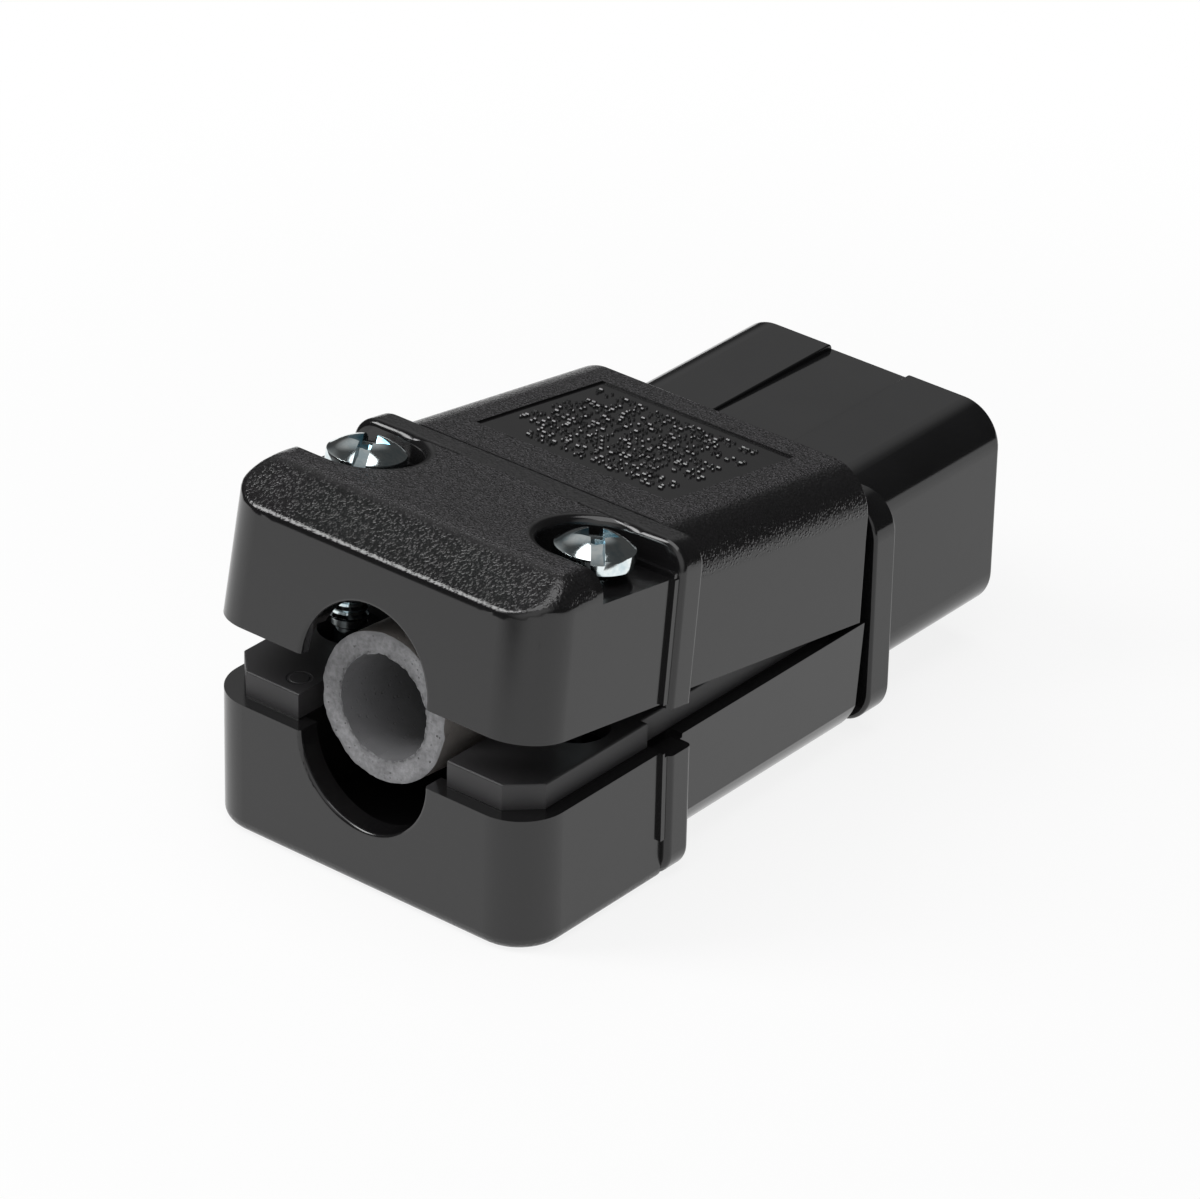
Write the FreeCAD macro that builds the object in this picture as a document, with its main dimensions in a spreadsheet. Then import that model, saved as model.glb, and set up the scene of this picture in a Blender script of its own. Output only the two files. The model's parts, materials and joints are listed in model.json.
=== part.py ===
# A rewireable appliance connector, 16 A pattern: two moulded half shells, a contact
# carrier with a rectangular nose, a cable bush and the metal parts inside.
# Millimetres. X is the width, +Y points out of the nose, +Z is up, and the origin is
# under the middle of the body, on the face that the connector lies on.
# Shell pieces are drawn closed; the cover and the bush are then swung open about the collar.

import FreeCAD
import Part
import Sketcher
import os
import re

SIZES = {
    # Whole connector: its length and heights follow from what it is made of and what it houses
    "overall_length": "=nose_length + flange_thickness + shell_gap + front_length"
                      " + band_length + rear_length",
    "axis_height": "=wall + base_room + collar_height / 2",
    "shell_height": "=axis_height + collar_height / 2 + cover_room + wall",
    "parting_height": "=axis_height - axis_rise",
    "axis_rise": 0.8,
    "base_room": 1.4,
    "cover_room": 1.3,
    # Contact carrier
    "nose_width": 29.5,
    "nose_height": 20.6,
    "nose_length": 19.0,
    "nose_corner": 4.0,
    "nose_edge": 0.5,
    "key_channel_width": 8.9,
    "key_channel_near": 0.25,
    "key_channel_far": 0.6,
    "key_channel_edge": 0.15,
    "flange_inset": 0.05,
    "flange_sink": 0.3,
    "flange_drop": 2.0,
    "flange_thickness": 3.0,
    "flange_corner": 3.5,
    "flange_edge": 0.35,
    "collar_width": "=front_width - 2 * (wall + collar_play)",
    "collar_play": 1.55,
    "collar_height": "=nose_height - 2 * collar_step",
    "collar_step": 0.3,
    "collar_thickness": 3.0,
    "collar_room": 0.8,
    "neck_width": "=collar_width - 2 * neck_side",
    "neck_side": 1.3,
    "neck_height": "=collar_height - 2 * neck_step",
    "neck_step": 1.5,
    "slot_width": 8.6,
    "slot_height": 2.8,
    "slot_depth": 1.5,
    "cavity_width": 9.0,
    "cavity_height": 5.2,
    "live_spacing": 13.0,
    "live_drop": 4.0,
    "earth_rise": 4.0,
    "back_plate_thickness": 1.6,
    # Half shells
    "front_length": "=wall + collar_room + collar_thickness + back_plate_thickness"
                    " + terminal_length + grip_room",
    "shell_gap": 1.2,
    "front_width": 35.1,
    "front_shoulder": 4.5,
    "front_lean": 0.75,
    "front_edge": 0.3,
    "side_lean": 0.6,
    "band_width": "=front_width + 2 * band_proud",
    "band_proud": 1.35,
    "band_length": 3.0,
    "band_corner": 2.5,
    "band_edge": 0.6,
    "band_overlap": 0.3,
    "band_key": 0.4,
    "key_play": 0.3,
    "step_width": "=rear_width + 2 * step_proud",
    "step_proud": 0.35,
    "step_length": 0.55,
    "rear_width": "=front_width + 2 * rear_flare",
    "rear_flare": 0.65,
    "rear_length": 17.9,
    "rear_corner": 4.6,
    "rear_shoulder": 2.6,
    "crease_edge": 0.6,
    "rear_drop": 3.0,
    "rear_run": 4.2,
    "rear_round": 14.0,
    "base_edge": 1.2,
    "base_shoulder": 4.2,
    "base_bow": 7.0,
    "wall": 2.2,
    "parting_clearance": 0.12,
    "rim_wall": 1.15,
    "lip_inset": 1.35,
    "lip_rise": 2.5,
    "lip_edge": 0.2,
    "lip_chamfer": 2.6,
    "room_chamfer": 2.6,
    "lip_room": 0.35,
    "lip_thickness": 1.65,
    "lip_setback": 1.1,
    "lip_play": 0.6,
    "channel_width": "=bush_outside + 2 * channel_play",
    "channel_play": 1.55,
    "channel_floor": 4.0,
    "roof_channel_width": "=bush_outside + 2 * roof_channel_play",
    "roof_channel_play": 0.65,
    "neck_room": 0.3,
    "cable_hole": "=bush_outside + 2 * bush_room",
    "bush_room": 0.2,
    "hole_edge": 0.35,
    "label_margin": 6.8,
    "label_setback": 4.3,
    "label_front": 3.9,
    "label_depth": 0.5,
    # Cover screws
    "screw_spacing": "=rear_width - 2 * screw_margin",
    "screw_margin": 5.6,
    "screw_pocket": 9.8,
    "pocket_depth": 2.9,
    "pocket_edge": 0.8,
    "pocket_ledge": 0.5,
    "pocket_slab": 1.8,
    "screw_post": 8.4,
    "screw_shank": 3.5,
    "screw_shank_length": "=shell_height - pocket_depth - nut_floor - nut_length - screw_stop",
    "screw_stop": 0.7,
    "screw_pilot": 2.4,
    "screw_pilot_length": 2.5,
    "screw_head": 7.4,
    "screw_head_side": 1.2,
    "screw_head_dome": 1.5,
    "screw_slot_width": 1.1,
    "screw_slot_depth": 1.2,
    "screw_turn": 36,
    "screw_hole_room": 0.5,
    "nut_outside": 6.0,
    "nut_bore": 3.9,
    "nut_length": 3.5,
    "nut_floor": 5.5,
    # Cable bush, in the room between the screw posts
    "bush_outside": "=screw_spacing - screw_post - 2 * bush_play",
    "bush_play": 1.65,
    "bush_bore": "=bush_outside - 2 * bush_wall",
    "bush_wall": 2.05,
    "bush_length": "=rear_length - bush_setback + bush_reach",
    "bush_setback": 2.8,
    "bush_reach": 1.9,
    # Contacts and terminals
    "contact_width": 8.4,
    "contact_height": 4.6,
    "contact_slit": 2.2,
    "contact_cheek": 0.7,
    "contact_reach": 1.0,
    "contact_seat": 2.7,
    "terminal_width": 7.0,
    "terminal_height": 7.0,
    "terminal_length": 9.0,
    "terminal_neck_width": 6.0,
    "terminal_neck_height": 3.6,
    "terminal_shift": 0.9,
    "wire_bore": 4.2,
    "wire_stop": 1.6,
    "clamp_thread": 3.0,
    "clamp_head": 5.2,
    "clamp_head_height": 1.9,
    "clamp_reach": 1.3,
    "pressure_plate_width": 2.6,
    "pressure_plate_length": 4.6,
    "pressure_plate_thickness": 0.6,
    # Cord grip, in the room between the band and the terminals
    "grip_room": 9.1,
    "grip_play": 1.55,
    "grip_side": 1.55,
    "grip_length": "=grip_room - 2 * grip_play",
    "grip_width": "=front_width - 2 * (lip_inset + lip_thickness + grip_side)",
    "grip_spacing": "=grip_width - grip_length",
    "grip_thickness": 3.2,
    "grip_arch": 5.2,
    "grip_gap": 0.2,
    "grip_seat": "=parting_height + grip_gap",
    "grip_post": "=grip_length + 2 * post_rim",
    "post_rim": 0.2,
    "grip_screw": 2.9,
    "grip_screw_length": 10.0,
    # Opening of the cover about the collar, in degrees
    "hinge_setback": 0.35,
    "hinge_rise": 2.7,
    "hinge_height": "=axis_height + hinge_rise",
    "cover_angle": 8.9,
    "bush_angle": 4.9,
}

doc = FreeCAD.newDocument("appliance_connector")
sheet = doc.addObject("Spreadsheet::Sheet", "Sizes")
for row, alias in enumerate(SIZES, 1):
    sheet.set(f"A{row}", alias)
    sheet.setAlias(f"B{row}", alias)
for row, size in enumerate(SIZES.values(), 1):
    sheet.set(f"B{row}", str(size))
doc.recompute()

# Stations along the connector, from the nose face to the cable end
NOSE_FACE = "overall_length / 2"
FLANGE_FRONT = f"{NOSE_FACE} - nose_length"
FLANGE_REAR = f"{FLANGE_FRONT} - flange_thickness"
SHELL_FRONT = f"{FLANGE_REAR} - shell_gap"
FRONT_WALL = f"{SHELL_FRONT} - wall"
COLLAR_FRONT = f"{FRONT_WALL} - collar_room"
COLLAR_REAR = f"{COLLAR_FRONT} - collar_thickness"
PLATE_REAR = f"{COLLAR_REAR} - back_plate_thickness"
TERMINAL_REAR = f"{PLATE_REAR} - terminal_length"
SHELL_REAR = "-overall_length / 2"
REAR_WALL = f"{SHELL_REAR} + wall"
BAND_REAR = f"{SHELL_REAR} + rear_length"
BAND_FRONT = f"{BAND_REAR} + band_length"
SCREW_PLACE = f"{BAND_REAR} - screw_pocket / 2"
HINGE_PLACE = f"{FLANGE_REAR} - hinge_setback"
GRIP_PLACE = f"({BAND_FRONT} + {TERMINAL_REAR}) / 2"

# Levels
RIM = "parting_height + parting_clearance"
LIP_TOP = "parting_height + lip_rise"
LIP_ROOF = f"{LIP_TOP} + lip_room"
ROOF = "shell_height - wall"
POCKET_FLOOR = "shell_height - pocket_depth"
SLAB = f"{POCKET_FLOOR} - pocket_slab"

# How far a cutting outline runs past the face it opens
PAST = "1"

# How far an edge may lie from the place where it is looked for
SLACK = 0.02

PLANES = {"top": ("XY_Plane", 1), "end": ("XZ_Plane", -1), "side": ("YZ_Plane", 1)}


def bound(text):
    """The text with every size name pointed at its cell of the sheet."""
    return re.sub(r"[a-z_]{3,}", lambda m: f"Sizes.{m[0]}" if m[0] in SIZES else m[0], text)


def number(text):
    return float(sheet.evalExpression(bound(text)))


def box(left, right, low, high):
    """Corners of a rectangle, as texts."""
    return [(left, low), (right, low), (right, high), (left, high)]


def wide(width, low, high):
    """Corners of a rectangle as wide as a size, centred on the connector."""
    return box(f"-({width}) / 2", f"({width}) / 2", low, high)


def turned(corners, angle):
    """Corners turned anticlockwise about the origin by a size in degrees."""
    cosine = f"cos({angle} * 1 deg)"
    sine = f"sin({angle} * 1 deg)"
    return [(f"({x}) * {cosine} - ({y}) * {sine}", f"({x}) * {sine} + ({y}) * {cosine}") for x, y in corners]


class Piece:
    """A sub-part: a body whose outlines and features follow the sheet."""

    def __init__(self, label):
        self.body = doc.addObject("PartDesign::Body", label)
        self.body.Label = label

    def settle(self, feature):
        """Works the feature out, and stops where that fails."""
        doc.recompute()
        if {"Invalid", "Error"} & set(feature.State):
            raise ValueError(f"{self.body.Label}: {feature.Name} failed after {self.body.Tip.Name}")

    def sketch(self, view, level):
        role, sign = PLANES[view]
        plane = next(p for p in self.body.Origin.OriginFeatures if p.Role == role)
        sketch = self.body.newObject("Sketcher::SketchObject", "Outline")
        sketch.AttachmentSupport = [(plane, "")]
        sketch.MapMode = "FlatFace"
        sketch.setExpression("AttachmentOffset.Base.z", bound(f"{sign} * ({level})"))
        return sketch

    def tie(self, sketch, kind, places, text):
        """A constraint that takes its value from the sheet."""
        index = sketch.addConstraint(Sketcher.Constraint(kind, *places, number(text)))
        sketch.renameConstraint(index, f"size{index}")
        sketch.setExpression(f"Constraints.size{index}", bound(text))

    def polygon(self, sketch, corners, arcs):
        """Lines between corners; arcs gives the radius of the edges that bulge outward."""
        ends = [FreeCAD.Vector(number(x), number(y), 0) for x, y in corners]
        count = len(ends)
        for index, start in enumerate(ends):
            stop = ends[(index + 1) % count]
            edge = Part.LineSegment(start, stop)
            if index in arcs:
                edge = self.bulge(start, stop, number(arcs[index]))
            sketch.addGeometry(edge, False)
        for index in range(count):
            sketch.addConstraint(Sketcher.Constraint("Coincident", index, 2, (index + 1) % count, 1))
        for index, (x, y) in enumerate(corners):
            self.tie(sketch, "DistanceX", (-1, 1, index, 1), x)
            self.tie(sketch, "DistanceY", (-1, 1, index, 1), y)
        for index, radius in arcs.items():
            self.tie(sketch, "Radius", (index,), radius)

    @staticmethod
    def bulge(start, stop, radius):
        """The shorter arc between two points, turning anticlockwise."""
        chord = stop - start
        side = FreeCAD.Vector(-chord.y, chord.x, 0).normalize()
        reach = (radius ** 2 - (chord.Length / 2) ** 2) ** 0.5
        centre = (start + stop) / 2 + side * reach
        middle = centre - side * radius
        return Part.Arc(start, middle, stop)

    def discs(self, sketch, centres, radius):
        for index, (x, y) in enumerate(centres):
            place = FreeCAD.Vector(number(x), number(y), 0)
            sketch.addGeometry(Part.Circle(place, FreeCAD.Vector(0, 0, 1), number(radius)), False)
            self.tie(sketch, "DistanceX", (-1, 1, index, 3), x)
            self.tie(sketch, "DistanceY", (-1, 1, index, 3), y)
            self.tie(sketch, "Radius", (index,), radius)

    def run(self, kind, sketch, view, start, stop):
        """A pad or pocket of the outline from one level to another."""
        feature = self.body.newObject(f"PartDesign::{kind}", kind)
        feature.Profile = sketch
        forward = PLANES[view][1] * (number(stop) - number(start)) > 0
        feature.Reversed = forward if kind == "Pocket" else not forward
        order = (stop, start) if number(stop) > number(start) else (start, stop)
        feature.setExpression("Length", bound("({}) - ({})".format(*order)))
        before = self.body.Shape.Volume if kind == "Pocket" else None
        self.settle(feature)
        if before is not None and not self.body.Shape.Volume < before - 1e-6:
            raise ValueError(f"{self.body.Label}: a pocket from {start} to {stop} cuts nothing")

    def add(self, view, start, stop, corners, arcs={}):
        sketch = self.sketch(view, start)
        self.polygon(sketch, corners, arcs)
        self.run("Pad", sketch, view, start, stop)

    def cut(self, view, start, stop, corners, arcs={}):
        sketch = self.sketch(view, start)
        self.polygon(sketch, corners, arcs)
        self.run("Pocket", sketch, view, start, stop)

    def add_discs(self, view, start, stop, centres, radius):
        sketch = self.sketch(view, start)
        self.discs(sketch, centres, radius)
        self.run("Pad", sketch, view, start, stop)

    def drill(self, view, start, stop, centres, radius):
        sketch = self.sketch(view, start)
        self.discs(sketch, centres, radius)
        self.run("Pocket", sketch, view, start, stop)

    def turn(self, corners, arcs={}):
        """A solid of revolution about the upright axis of the end view."""
        sketch = self.sketch("end", "0")
        self.polygon(sketch, corners, arcs)
        feature = self.body.newObject("PartDesign::Revolution", "Revolution")
        feature.Profile = sketch
        feature.ReferenceAxis = (sketch, ["V_Axis"])
        self.settle(feature)

    def flare(self, x, y, radius, edge, top):
        """Rounds the rim of an upright round pocket."""
        sketch = self.sketch("end", y)
        outline = [
            (f"{x} + {radius} + {edge}", top),
            (f"{x} + {radius}", f"{top} - {edge}"),
            (f"{x} + {radius} - {PAST}", f"{top} - {edge}"),
            (f"{x} + {radius} - {PAST}", f"{top} + {PAST}"),
            (f"{x} + {radius} + {edge}", f"{top} + {PAST}"),
        ]
        self.polygon(sketch, outline, {0: edge})
        foot = FreeCAD.Vector(number(x), 0, 0)
        axis = sketch.addGeometry(Part.LineSegment(foot, foot + FreeCAD.Vector(0, 1, 0)), True)
        for end in (1, 2):
            self.tie(sketch, "DistanceX", (-1, 1, axis, end), x)
        sketch.addConstraint(Sketcher.Constraint("PointOnObject", axis, 1, -1))
        sketch.addConstraint(Sketcher.Constraint("DistanceY", axis, 1, axis, 2, 1))
        feature = self.body.newObject("PartDesign::Groove", "Groove")
        feature.Profile = sketch
        feature.ReferenceAxis = (sketch, ["Axis0"])
        self.settle(feature)

    def edges(self, test):
        """Names of the edges whose box passes the test."""
        found = enumerate(self.body.Shape.Edges, 1)
        return [f"Edge{index}" for index, edge in found if test(edge.BoundBox)]

    def round(self, radius, test):
        """A fillet on the edges that pass the test."""
        names = self.edges(test)
        if not names:
            raise ValueError(f"{self.body.Label}: no edge to round with {radius}")
        tip = self.body.Tip
        feature = self.body.newObject("PartDesign::Fillet", "Fillet")
        feature.Base = (tip, names)
        feature.setExpression("Radius", bound(radius))
        self.settle(feature)

    def place(self, x, y, z):
        for axis, text in zip("xyz", (x, y, z)):
            self.body.setExpression(f"Placement.Base.{axis}", bound(text))

    def swing(self, angle, x="0", y="0", z="0"):
        """Puts the piece at a closed place, then lifts its cable end about the hinge."""
        turn = f"({angle}) * 1 deg"
        arm = f"({y}) - ({HINGE_PLACE})"
        rise = f"({z}) - hinge_height"
        self.body.Placement.Rotation.Axis = FreeCAD.Vector(1, 0, 0)
        self.body.setExpression("Placement.Rotation.Angle", bound(f"-({turn})"))
        self.body.setExpression("Placement.Rotation.Axis.x", "1")
        self.body.setExpression("Placement.Rotation.Axis.z", "0")
        self.body.setExpression("Placement.Base.x", bound(x))
        along = f"{HINGE_PLACE} + cos({turn}) * ({arm}) + sin({turn}) * ({rise})"
        up = f"hinge_height - sin({turn}) * ({arm}) + cos({turn}) * ({rise})"
        self.body.setExpression("Placement.Base.y", bound(along))
        self.body.setExpression("Placement.Base.z", bound(up))


def near(value, text, slack=SLACK):
    return abs(value - number(text)) < slack


def level(edge_box, axis, text):
    """True where the whole edge lies at one coordinate."""
    low = getattr(edge_box, f"{axis.upper()}Min")
    high = getattr(edge_box, f"{axis.upper()}Max")
    return near(low, text) and near(high, text)


def lengthwise(edge_box):
    """True for a straight edge that runs from end to end."""
    return edge_box.XLength < SLACK and edge_box.ZLength < SLACK


def underside(edge_box):
    """True for an edge on the face that the connector lies on."""
    return level(edge_box, "z", "0")


def both(x, y):
    """The same place on the right and on the left."""
    return [(x, y), (f"-({x})", y)]


def band_rim(edge_box):
    """True for an edge on the front or the rear face of the band."""
    return level(edge_box, "y", BAND_FRONT) or level(edge_box, "y", BAND_REAR)


def rear_upright(edge_box):
    """True for an upright edge of the cable end."""
    return level(edge_box, "y", SHELL_REAR) and edge_box.ZLength > 1


def arch_rim(edge_box):
    """True for the outer edge of the cable arch in a half shell."""
    return level(edge_box, "y", SHELL_REAR) and near(edge_box.XLength, "cable_hole", 0.1)


def cable_arch(shell):
    """Half of the round cable entry, with a rounded outer edge."""
    rear = f"{SHELL_REAR} - {PAST}"
    shell.drill("end", rear, f"{REAR_WALL} + {PAST}", [("0", "parting_height")], "cable_hole / 2")
    shell.round("hole_edge", arch_rim)


SCREW_AXES = both("screw_spacing / 2", SCREW_PLACE)
GRIP_AXES = both("grip_spacing / 2", GRIP_PLACE)


def lip_outline(inset, step, front):
    """Plan of the tongue, or of the rebate that it fits, as corner texts."""
    rear = f"rear_width / 2 - {inset}"
    nose = f"front_width / 2 - {inset}"
    back = f"{SHELL_REAR} + {inset}"
    right = [
        (f"{rear} - lip_chamfer", back),
        (rear, f"{back} + lip_chamfer"),
        (rear, step),
        (nose, step),
        (nose, front),
    ]
    return right + [(f"-({x})", y) for x, y in reversed(right)]


def shell_section(width, low, high, lean_low, lean_high):
    """End view of a half shell whose sides lean inward."""
    half = f"{width} / 2"
    return [
        (f"-{half} + {lean_low}", low),
        (f"{half} - {lean_low}", low),
        (f"{half} - {lean_high}", high),
        (f"-{half} + {lean_high}", high),
    ]


def lean_at(height, flat, crest):
    """How far a side that leans over its whole height has come in at a height."""
    return f"side_lean * ({height} - ({flat})) / ({crest} - ({flat}))"


def moulded_section(width, flat, bend, crest, lean, corner):
    """End view of a half shell from the parting to its top or underside, with round edges 2 and 4."""
    half = f"{width} / 2"
    flank = f"({half} - {lean})"
    crown = f"({flank} - {corner})"
    outline = [
        (f"-{half}", flat),
        (half, flat),
        (flank, bend),
        (crown, crest),
        (f"-{crown}", crest),
        (f"-{flank}", bend),
    ]
    if number(crest) > number(flat):
        return outline
    return [(f"-({x})", z) for x, z in outline]


def cover_outside(cover):
    """The outer form of the upper half shell: front part, band and rounded cable end."""
    high = "shell_height"
    over = f"{high} + {PAST}"
    key = f"{RIM} - band_key"
    bend = f"{high} - band_corner"
    band = moulded_section("band_width", key, bend, high, lean_at(bend, key, high), "band_corner")
    cover.add("end", BAND_FRONT, BAND_REAR, band, {2: "band_corner", 4: "band_corner"})
    cover.round("band_edge", lambda e: band_rim(e) and e.ZMax > number(RIM))
    between = wide("(screw_spacing - screw_pocket - 3 * pocket_edge)", RIM, high)
    cover.add("end", f"{BAND_REAR} + 2 * band_edge", BAND_REAR, between)
    bend = f"{high} - front_shoulder"
    front = moulded_section("front_width", RIM, bend, high, lean_at(bend, RIM, high), "front_shoulder")
    band_inside = f"{BAND_FRONT} - band_overlap"
    cover.add("end", SHELL_FRONT, band_inside, front, {2: "front_shoulder", 4: "front_shoulder"})
    lean = [
        (SHELL_FRONT, RIM),
        (f"{SHELL_FRONT} + {PAST}", RIM),
        (f"{SHELL_FRONT} + {PAST}", over),
        (f"{SHELL_FRONT} - front_lean", over),
    ]
    cover.cut("side", f"-front_width / 2 - {PAST}", f"front_width / 2 + {PAST}", lean)
    front_face = number(f"{SHELL_FRONT} - front_lean") - SLACK
    cover.round("front_edge", lambda e: e.YMin > front_face and e.ZMax > number(RIM) + 1)
    cover.add("end", BAND_REAR, SHELL_REAR, shell_section("rear_width", RIM, high, "0", "side_lean"))
    cover.round("rear_corner", rear_upright)
    step_rear = f"{BAND_REAR} - step_length"
    step = shell_section("step_width", RIM, POCKET_FLOOR, "0", lean_at(POCKET_FLOOR, RIM, high))

    low = f"{high} - rear_shoulder"
    flank = f"(rear_width / 2 - {lean_at(low, RIM, high)})"
    crown = f"({flank} - rear_shoulder)"
    beyond = f"(rear_width / 2 + {PAST})"
    right = [(flank, low), (crown, high), (crown, over), (beyond, over), (beyond, low)]
    mirrored = [(f"-{x}", z) for x, z in right]
    left = [mirrored[1], mirrored[0], mirrored[4], mirrored[3], mirrored[2]]
    for shoulder in (right, left):
        cover.cut("end", f"{SHELL_REAR} - {PAST}", BAND_REAR, shoulder, {0: "rear_shoulder"})
    cover.add("end", BAND_REAR, step_rear, step)

    fall_start = f"{SHELL_REAR} + rear_run"
    fall_end = f"{high} - rear_drop"
    fall = [
        (fall_start, high),
        (SHELL_REAR, fall_end),
        (f"{SHELL_REAR} - {PAST}", fall_end),
        (f"{SHELL_REAR} - {PAST}", over),
        (fall_start, over),
    ]
    cover.cut("side", f"-{beyond}", beyond, fall, {0: "rear_round"})
    cover.round("crease_edge", lambda e: level(e, "z", fall_end) and e.YMax < number(fall_start))


def cover_inside(cover):
    """The room for the terminals and wires, the rebate for the tongue and the screw posts."""
    under = f"{RIM} - {PAST}"
    side = "front_width / 2 - wall"
    front_room = [
        (f"-({side})", under),
        (side, under),
        (side, f"{ROOF} - room_chamfer"),
        (f"{side} - room_chamfer", ROOF),
        (f"-({side} - room_chamfer)", ROOF),
        (f"-({side})", f"{ROOF} - room_chamfer"),
    ]
    cover.cut("end", BAND_REAR, FRONT_WALL, front_room)
    room_front = f"{BAND_REAR} + {PAST}"
    cover.cut("end", REAR_WALL, room_front, wide("roof_channel_width", under, ROOF))
    cover.cut("end", REAR_WALL, room_front, wide("rear_width - 2 * wall", under, SLAB))
    cover.cut("top", f"{RIM} - band_key", LIP_ROOF, lip_outline("rim_wall", BAND_REAR, FRONT_WALL))
    cover.add_discs("top", LIP_ROOF, POCKET_FLOOR, SCREW_AXES, "screw_post / 2")


def screw_pocket(cover, side):
    """A round pocket for a screw head, open to the side, with a rounded rim."""
    high = "shell_height"
    over = f"{high} + {PAST}"
    low = f"{high} - pocket_edge"
    middle = f"{side}screw_spacing / 2"
    outside = f"{side}(band_width / 2 + {PAST})"
    rear = f"{SCREW_PLACE} - screw_pocket / 2"
    cover.drill("top", over, POCKET_FLOOR, [(middle, SCREW_PLACE)], "screw_pocket / 2")
    cover.cut("top", over, POCKET_FLOOR, box(middle, outside, rear, BAND_REAR))
    cover.flare(middle, SCREW_PLACE, "screw_pocket / 2", "pocket_edge", high)
    rear_rim = [
        (rear, low),
        (f"{rear} - pocket_edge", high),
        (f"{rear} - pocket_edge", over),
        (f"{rear} + {PAST}", over),
        (f"{rear} + {PAST}", low),
    ]
    cover.cut("side", middle, outside, rear_rim, {0: "pocket_edge"})


def top_cover():
    """The upper half shell, with the screw pockets and the sunken label."""
    cover = Piece("top_cover")
    cover_outside(cover)
    cover_inside(cover)
    for side in ("", "-"):
        screw_pocket(cover, side)
    for side in ("", "-"):
        ledge = box(f"{side}(screw_spacing / 2 - screw_pocket / 4)", f"{side}(step_width / 2 - side_lean)",
                    f"{BAND_REAR} - step_length", f"{BAND_REAR} + 2 * band_edge")
        cover.add("top", POCKET_FLOOR, f"{POCKET_FLOOR} + pocket_ledge", ledge)
    hole = "(screw_shank + screw_hole_room) / 2"
    cover.drill("top", f"shell_height + {PAST}", f"{LIP_ROOF} - {PAST}", SCREW_AXES, hole)
    cable_arch(cover)
    neck_side = "neck_width + 2 * neck_room"
    neck_top = "axis_height + neck_height / 2 + 2 * neck_room"
    cover.cut("end", f"{FRONT_WALL} - {PAST}", f"{SHELL_FRONT} + {PAST}",
              wide(neck_side, f"{RIM} - {PAST}", neck_top))
    label_rear = f"{BAND_FRONT} + label_setback"
    label = wide("(front_width - 2 * label_margin)", label_rear, f"{SHELL_FRONT} - label_front")
    cover.cut("top", "shell_height", "shell_height - label_depth", label)
    return cover


def base_shell():
    """The lower half shell, with the tongue, the screw bosses and the cord grip posts."""
    base = Piece("base_shell")
    rim = "parting_height"
    key = f"{rim} - band_key"
    band = moulded_section("band_width", key, "band_corner", "0", "0", "band_corner")
    base.add("end", BAND_FRONT, BAND_REAR, band, {2: "band_corner", 4: "band_corner"})
    base.round("band_edge", lambda e: band_rim(e) and e.ZMin < number(key) - SLACK)
    flat = wide("band_width - 2 * band_corner", "0", "channel_floor")
    base.add("end", BAND_FRONT, BAND_REAR, flat)
    front = moulded_section("front_width", rim, "base_shoulder", "0", "side_lean", "base_shoulder")
    band_inside = f"{BAND_FRONT} - band_overlap"
    base.add("end", SHELL_FRONT, band_inside, front, {2: "base_bow", 4: "base_bow"})
    base.add("end", BAND_REAR, SHELL_REAR, shell_section("rear_width", "0", rim, "0", "0"))
    base.round("rear_corner", rear_upright)
    base.round("base_edge", lambda e: underside(e) and e.YMax < number(BAND_REAR) - SLACK)
    step_rear = f"{BAND_REAR} - step_length"
    base.add("end", BAND_REAR, step_rear, shell_section("step_width", "base_shoulder", rim, "0", "0"))
    tongue = lip_outline("lip_inset", f"{BAND_REAR} - lip_play", f"{FRONT_WALL} - lip_setback")
    base.add("top", rim, LIP_TOP, tongue)
    base.round("lip_edge", lambda e: level(e, "z", LIP_TOP))
    for side in ("", "-"):
        notch = box(f"{side}(front_width / 2 - lip_inset)", f"{side}(band_width / 2 + {PAST})",
                    f"{BAND_REAR} - key_play", f"{BAND_FRONT} + key_play")
        base.cut("top", rim, f"{rim} - band_key", notch)

    inside = "front_width - 2 * (lip_inset + lip_thickness)"
    sky = f"{LIP_TOP} + {PAST}"
    base.cut("top", sky, "wall", wide(inside, BAND_FRONT, FRONT_WALL))
    base.cut("top", sky, "channel_floor", wide("channel_width", REAR_WALL, f"{BAND_FRONT} + {PAST}"))
    gap = wide("channel_width", f"{SHELL_REAR} + lip_inset / 2", f"{REAR_WALL} + {PAST}")
    base.cut("top", sky, rim, gap)
    cable_arch(base)
    base.drill("top", sky, "nut_floor", SCREW_AXES, "nut_outside / 2")
    neck = wide("neck_width", "axis_height - neck_height / 2", sky)
    base.cut("end", f"{FRONT_WALL} - {PAST}", f"{SHELL_FRONT} + {PAST}", neck)
    base.add_discs("top", "wall / 2", "grip_seat", GRIP_AXES, "grip_post / 2")
    base.drill("top", "grip_seat", "wall", GRIP_AXES, "grip_screw / 2")
    return base


def contact_places():
    """Name, sideways place, height and sideways shift of the terminal of each contact."""
    live = "axis_height - live_drop"
    return [
        ("line", "live_spacing / 2", live, "terminal_shift"),
        ("neutral", "-live_spacing / 2", live, "-terminal_shift"),
        ("earth", "0", "axis_height + earth_rise", "0"),
    ]


def around(x, z, width, height):
    """Corners of a rectangle about a place in the end view."""
    return box(f"{x} - {width} / 2", f"{x} + {width} / 2", f"{z} - {height} / 2", f"{z} + {height} / 2")


def rounded(width, low, high, corner):
    """Outline of a plate with rounded corners, and the radius of each corner."""
    side = f"({width} / 2)"
    reach = f"({side} - {corner})"
    lower = f"({low} + {corner})"
    upper = f"({high} - {corner})"
    right = [(reach, low), (side, lower), (side, upper), (reach, high)]
    outline = right + [(f"-{x}", z) for x, z in reversed(right)]
    return outline, {index: corner for index in (0, 2, 4, 6)}


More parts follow.
